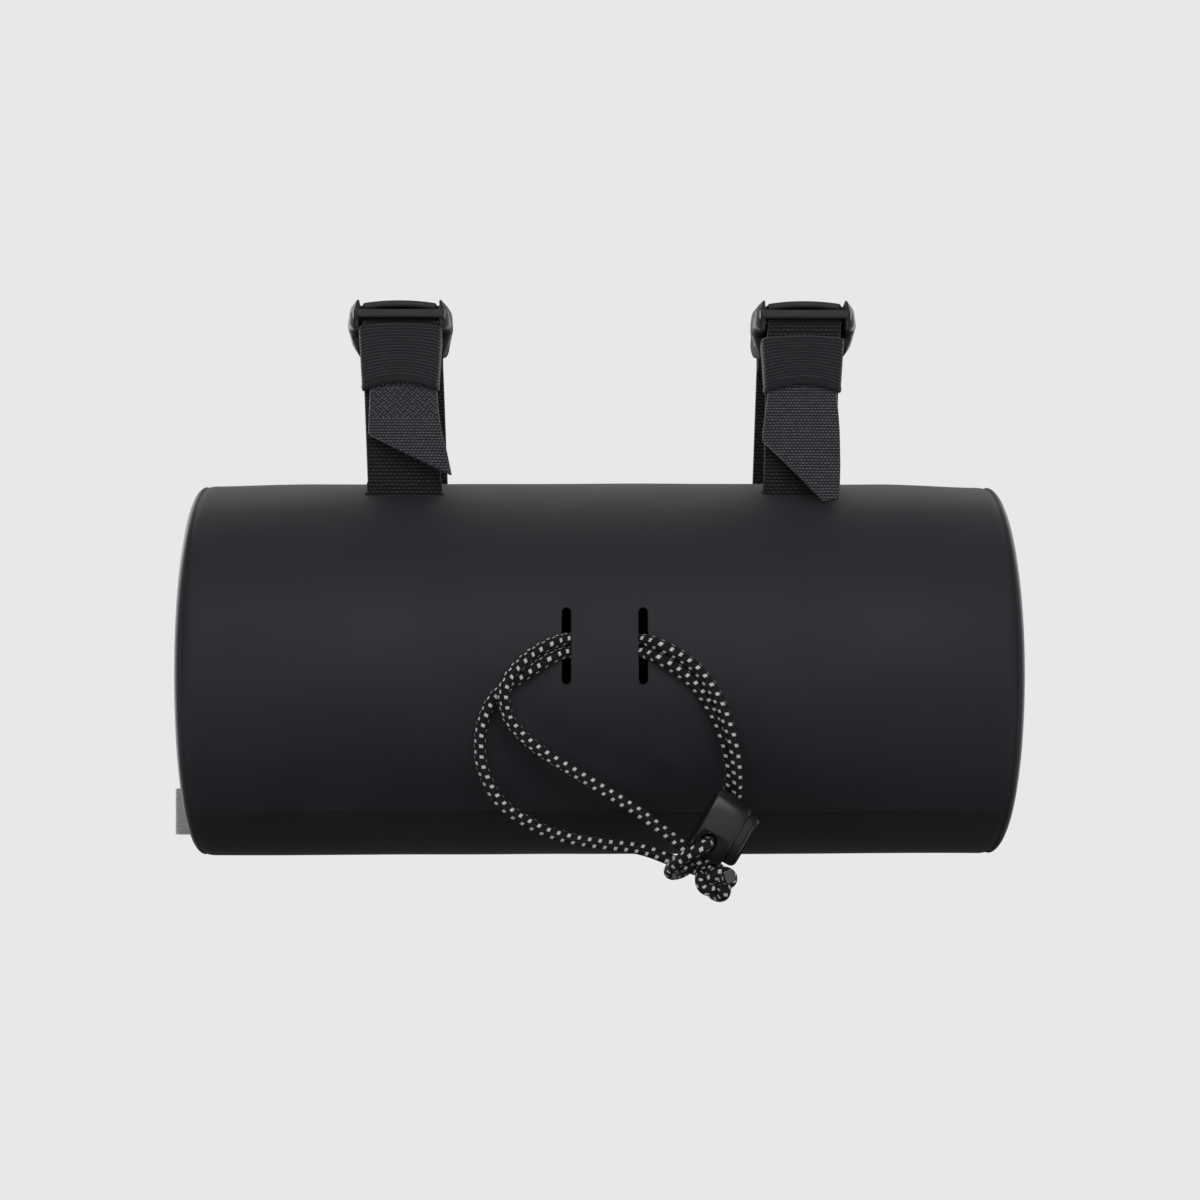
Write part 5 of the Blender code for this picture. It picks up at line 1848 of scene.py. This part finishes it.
        def place(u: float, v: float) -> Vector:
            """Find a place on the loop's middle.

            Args:
                u: share of the way round the loop.
                v: share of the way up it.

            Returns:
                The place.
            """
            x, y = flat[round(u * count) % count]
            rear = min(1.0, max(0.0, (y - front) / (back - front)))
            top = self.keeper_top + (self.keeper_back_top - self.keeper_top) * rear
            arch = 1 - (x / half) ** 2
            bottom = self.keeper_bottom + self.keeper_arch * arch
            top += 0.5 * MM * arch * (1 - rear)
            z = bottom + (top - bottom) * v
            up = v * tall
            narrow = 1 - (self.keeper_taper / half) * (1 - v)
            wave = math.cos(2 * math.pi * up / self.keeper_pitch) if up > self.hem else -1.0
            rolled = math.sqrt(max(0.0, 1 - (2 * up / self.hem - 1) ** 2))
            swell = self.keeper_rib * wave + self.hem_swell * rolled
            # -1 on the front, 1 on the back and 0 on the sides
            out_y = -1 if y < middle_y - 0.4 * MM else (1 if y > middle_y + 0.4 * MM else 0)
            if abs(x) > half - 0.2 * MM:
                out_y = 0
            crown = self.keeper_crown * arch if out_y < 0 else 0.0
            return Vector((self.keeper_x + x * narrow + math.copysign(swell, x) * (out_y == 0),
                           y + out_y * swell - crown, z))

        keeper = lay_grid(f"keeper_elastic_{self.side.value}", count, 90, place,
                          (widths[-1], tall / MM), closed=True, widths=widths)
        give_wall(keeper, self.keeper_wall - 0.25 * MM)
        settle(keeper, 60)
        for face in keeper.data.polygons:
            # the hem takes the darker elastic, which is painted shade
            face.material_index = 1 if length_share(keeper, face) < self.hem / MM else 0
        return keeper

    def rail(self, sign: int) -> bpy.types.Object:
        """Make one cheek of the buckle, flared towards its middle and thin at its ear.

        Args:
            sign: -1 for the left cheek and 1 for the right.

        Returns:
            The cheek.
        """
        at = self.sizes
        outline = [Vector((0, at.front + a * at.length, at.base + h * at.height))
                   for a, h in RAIL_OUTLINE]
        inner = at.web_width / 2 + at.rail_clearance
        clear_selection()
        bpy.ops.mesh.primitive_circle_add(vertices=len(outline), fill_type="NGON")
        rail = bpy.context.object
        for vertex, spot in zip(rail.data.vertices, outline):
            vertex.co = spot + Vector((sign * inner, 0, 0))
        edit_all(rail)
        bpy.ops.mesh.extrude_region_move(
            TRANSFORM_OT_translate={"value": (sign * at.rail_width, 0, 0)})
        turn_outwards(rail)
        face_x = sign * (inner + at.rail_width)
        bevel_where(rail, lambda start, end: max(abs(start.x - face_x), abs(end.x - face_x)) < 1e-6,
                    self.rail_rounding, 6)
        lip_top = at.base + at.height * 0.78
        tip = at.base + at.height
        for vertex in rail.data.vertices:
            back = vertex.co.y - at.front
            share = interpolate(back / at.length, RAIL_FLARE)
            ear = ease((vertex.co.z - lip_top) / (tip - lip_top)) * ease(1 - back / (9 * MM))
            share *= 1 - 0.5 * ear
            share *= interpolate((vertex.co.z - at.base) / at.height, RAIL_BELLY)
            vertex.co.x = sign * inner + (vertex.co.x - sign * inner) * share
        return rail

    def cross_bar(self, half: float, low: tuple[float, float], high: tuple[float, float],
                  bow: float, rim: float) -> bpy.types.Object:
        """Make a bar across the buckle with soft edges, its middle standing bow higher.

        Args:
            half: its half length.
            low: its front, lower corner in y and z.
            high: its rear, upper corner in y and z.
            bow: how much higher its middle is than its ends.
            rim: radius of its edges.

        Returns:
            The bar.
        """
        clear_selection()
        bpy.ops.mesh.primitive_cube_add(
            size=1, location=(0, (low[0] + high[0]) / 2, (low[1] + high[1]) / 2))
        bar = bpy.context.object
        bar.scale = (2 * half, high[0] - low[0], high[1] - low[1])
        apply_place()
        edit_all(bar)
        bpy.ops.mesh.bevel(offset=rim, segments=3, affect="EDGES")
        for step in range(1, 12):
            bpy.ops.mesh.select_all(action="SELECT")
            bpy.ops.mesh.bisect(plane_co=((step / 6 - 1) * half, 0, 0), plane_no=(1, 0, 0))
        leave_edit()
        for vertex in bar.data.vertices:
            vertex.co.z -= bow * (vertex.co.x / half) ** 2
        return bar

    def rod(self, spot: tuple[float, float], radius: float, half: float) -> bpy.types.Object:
        """Make a round bar across the buckle.

        Args:
            spot: y and z of its axis.
            radius: in metres.
            half: its half length.

        Returns:
            The bar.
        """
        clear_selection()
        bpy.ops.mesh.primitive_cylinder_add(vertices=28, radius=radius, depth=2 * half,
                                            location=(0, *spot), rotation=(0, math.pi / 2, 0))
        apply_place()
        return bpy.context.object

    def build_buckle(self) -> bpy.types.Object:
        """Make the buckle from its cheeks and bars, melted together as one moulding.

        Returns:
            The buckle.
        """
        at = self.sizes
        inner = at.web_width / 2 + at.rail_clearance
        reach = inner + 0.6 * MM
        mouth = at.grip[1] + at.grip_radius + at.gap + at.web + at.gap
        top = at.base + at.height
        plate_front = at.front + 2.9 * MM
        lip_front, rib_back = at.front - 0.3 * MM, plate_front + 11.6 * MM
        pieces = [
            self.rail(-1),
            self.rail(1),
            # the lip over the webbing
            self.cross_bar(inner + 1.45 * MM, (lip_front, mouth - 0.5 * MM),
                           (at.front + 2.4 * MM, mouth + 1.9 * MM), 0.0, 0.5 * MM),
            # the thumb plate: its raised front, its rear, and a rib under its rear edge that
            # closes the view over the webbing
            self.cross_bar(inner - 0.75 * MM, (plate_front, top - 2.0 * MM),
                           (plate_front + 4.4 * MM, top), self.plate_bow, 0.6 * MM),
            self.cross_bar(reach, (plate_front + 4.0 * MM, top - 2.2 * MM),
                           (plate_front + 9.0 * MM, top - 0.3 * MM), self.plate_bow, 0.4 * MM),
            self.cross_bar(reach, (plate_front + 8.4 * MM, mouth + 0.1 * MM),
                           (rib_back, top - 0.5 * MM), 0.0, 0.4 * MM),
            self.rod(at.grip, at.grip_radius, reach),
            self.rod(at.rear, at.rear_radius, reach),
        ]
        for sign in (-1, 1):
            shoulder = self.rod((at.grip[0], at.grip[1] + 1.2 * MM), 3.3 * MM, 0.7 * MM)
            for vertex in shoulder.data.vertices:
                vertex.co.x += sign * inner
            pieces.append(shoulder)
        buckle = join(f"buckle_moulding_{self.side.value}", pieces)
        melt = buckle.modifiers.new("melt", "REMESH")
        melt.mode = "VOXEL"
        melt.voxel_size = self.voxel
        smooth = buckle.modifiers.new("soften", "SMOOTH")
        smooth.factor = 0.5
        smooth.iterations = 4
        settle(buckle, 70)
        for vertex in buckle.data.vertices:
            vertex.co.x += self.buckle_x
        return buckle

    def build(self) -> None:
        """Build and dress the strap, its keeper and its buckle."""
        name = self.side.value
        strap = settle(self.build_strap(), 45)
        faces = [SHADED_LEG_WEBBING.build(), TAIL_WEBBING.build(), CHEVRON_WEBBING.build()]
        dress(strap, faces, "webbing", f"strap_{name}")
        dress(self.build_keeper(), [KEEPER_ELASTIC.build(), SHADED_HEM_ELASTIC.build()], "elastic",
              f"keeper_{name}")
        dress(self.build_buckle(), [BUCKLE_ACETAL.build()], "buckle_plastic", f"buckle_{name}")


# The tab and the zip


@dataclass
class SideTab:
    """The small folded ribbon that stands out at the bottom of the left end."""

    tube: TubeFrame
    width: float = 12.5 * MM
    thick: float = 1.0 * MM
    softness: float = 0.18 * MM
    rows: int = 24
    loop: float = 3.0 * MM
    y: float = 10.0 * MM
    below_axis: float = 39.4 * MM

    def build(self) -> None:
        """Build and dress the tab."""
        low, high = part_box("side_tab")
        seat, end = high[0] + 0.6 * MM, low[0] + self.thick / 2
        radius = self.loop / 2
        points = [Vector((seat, self.y - radius, 0))]
        for step in range(13):
            turn = math.pi * step / 12
            points.append(Vector((end + radius - radius * math.sin(turn),
                                  self.y - radius * math.cos(turn), 0)))
        points.append(Vector((seat, self.y + radius, 0)))
        line = even_points(points, 0.4 * MM)
        middle_z = -self.tube.axis_drop - self.below_axis

        def place(u: float, v: float) -> Vector:
            """Find a place on the ribbon's middle.

            Args:
                u: share of the way along the ribbon.
                v: share of the way up it.

            Returns:
                The place.
            """
            spot = line[round(u * (len(line) - 1))]
            z = middle_z + (v - 0.5) * self.width
            soft = self.softness * noise.noise(Vector((spot.x * 200, v * 3, spot.y * 150)))
            return Vector((spot.x, spot.y + soft, z))

        tab = lay_grid("tab_ribbon", len(line) - 1, self.rows, place,
                       (length_of(line) / MM, self.width / MM))
        give_wall(tab, self.thick * 0.8)
        dress(settle(tab, 50), [TAB_RIBBON.build()], "tab_cloth", "side_tab")


@dataclass
class BackZip:
    """The zip along the back: its tape and coil, and the slider and pull, softened copies."""

    tube: TubeFrame
    degrees: float = 165.0
    opening: float = 12.0 * MM
    underlap: float = 4.0 * MM
    wall: float = 1.0 * MM
    margin: float = 0.8 * MM
    coil_radius: float = 0.6 * MM
    coil_half: float = 1.9 * MM
    coil_pitch: float = 1.4 * MM
    coil_shift: float = 0.45 * MM
    coil_rise: float = 0.35 * MM

    def build(self) -> None:
        """Build and dress the zip."""
        middle = self.tube.radius - self.tube.wall - self.tube.gap - self.wall / 2
        half_x = self.tube.half - self.margin
        half_turn = math.degrees((self.opening / 2 + self.underlap) / middle)

        def place(u: float, v: float) -> Vector:
            """Return the place u of the way across the tape and v of the way along it."""
            degrees = self.degrees - half_turn + 2 * half_turn * u
            return self.tube.point(self.tube.middle_x + (2 * v - 1) * half_x, middle, degrees)

        tape = lay_grid("zip_tape_cloth", 24, 120, place,
                        (2 * (self.opening / 2 + self.underlap) / MM, 2 * half_x / MM))
        give_wall(tape, self.wall * 0.9)
        dress(settle(tape, 50), [ZIP_CLOTH.build()], "zip_tape", "zip_tape")
        clear_selection()
        bpy.ops.mesh.primitive_uv_sphere_add(segments=10, ring_count=6, radius=self.coil_radius)
        coil = bpy.context.object
        coil.name = "zip_coil"
        coil.scale = (1.0, self.coil_half / self.coil_radius, 1.0)
        apply_place()
        count = int((2 * half_x - 2 * MM) / self.coil_pitch)
        repeat_along(coil, count, self.coil_pitch)
        for vertex in coil.data.vertices:
            number = round(vertex.co.x / self.coil_pitch)
            vertex.co.y += self.coil_shift if number % 2 else -self.coil_shift
        start = self.tube.point(self.tube.middle_x - (count - 1) * self.coil_pitch / 2,
                                middle + self.wall / 2 + self.coil_rise, self.degrees)
        coil.matrix_world = (Matrix.Translation(start)
                             @ Matrix.Rotation(math.radians(90 - self.degrees), 4, "X"))
        dress(settle(coil, 60), [COIL.build()], "zip_tape")
        self.dress_solid("zip_slider", ZINC.build(), 0.35 * MM)
        self.dress_solid("zip_pull", PULL_RIBBON.build(), 0.12 * MM)

    def dress_solid(self, node: str, finish: bpy.types.Material, rim: float) -> None:
        """Copy a solid, soften its edges and dress it.

        Args:
            node: the solid's name.
            finish: its material.
            rim: radius of its softened edges.
        """
        take(bpy.data.objects[node])
        bpy.ops.object.duplicate()
        copy = bpy.context.object
        copy.name = node + "_detailed"
        edit_all(copy)
        bpy.ops.mesh.remove_doubles(threshold=0.002 * MM)
        bpy.ops.mesh.dissolve_limited(angle_limit=math.radians(2))
        leave_edit()
        soften_edges(copy, rim, 3, 40)
        slot = "zip_metal" if node == "zip_slider" else "tab_cloth"
        dress(settle(copy, 40), [finish], slot, node)


STRAPS = (
    dict(side=Side.LEFT, bag_x=-52.8 * MM, keeper_x=-53.7 * MM, buckle_x=-54.1 * MM,
         keeper_top=25.2 * MM, keeper_bottom=8.0 * MM, tail_end=-14.8 * MM, cut_rise=11.0 * MM,
         cut_x=9.7 * MM, chevrons_to=0.5 * MM,
         tail_edges=((-15.0, -62.0, -39.8), (-9.0, -62.0, -41.1), (-3.0, -62.0, -42.7),
                     (3.0, -61.9, -43.6), (8.0, -61.8, -44.0))),
    dict(side=Side.RIGHT, bag_x=52.8 * MM, keeper_x=53.2 * MM, buckle_x=54.0 * MM,
         keeper_top=21.8 * MM, keeper_bottom=7.6 * MM, tail_end=-22.0 * MM, cut_rise=21.0 * MM,
         cut_x=5.6 * MM, chevrons_to=100.0 * MM,
         tail_edges=((-22.0, 42.6, 62.4), (-12.0, 42.4, 62.9), (-3.0, 42.4, 62.9),
                     (3.0, 43.3, 62.6), (8.0, 44.0, 62.1))),
)


def main() -> None:
    """Build every piece in order."""
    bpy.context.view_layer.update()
    studio = Studio()
    studio.camera()
    lock_pieces = CordLock().build()
    ShockCord().build(lock_pieces)
    tube = TubeFrame()
    BagTube(tube).build()
    sizes = BuckleFrame()
    for values in STRAPS:
        Strap(sizes=sizes, tube=tube, **values).build()
    SideTab(tube).build()
    BackZip(tube).build()
    studio.build()


if __name__ == "__main__":
    logging.basicConfig(level=logging.INFO, format="%(name)s: %(message)s")
    main()
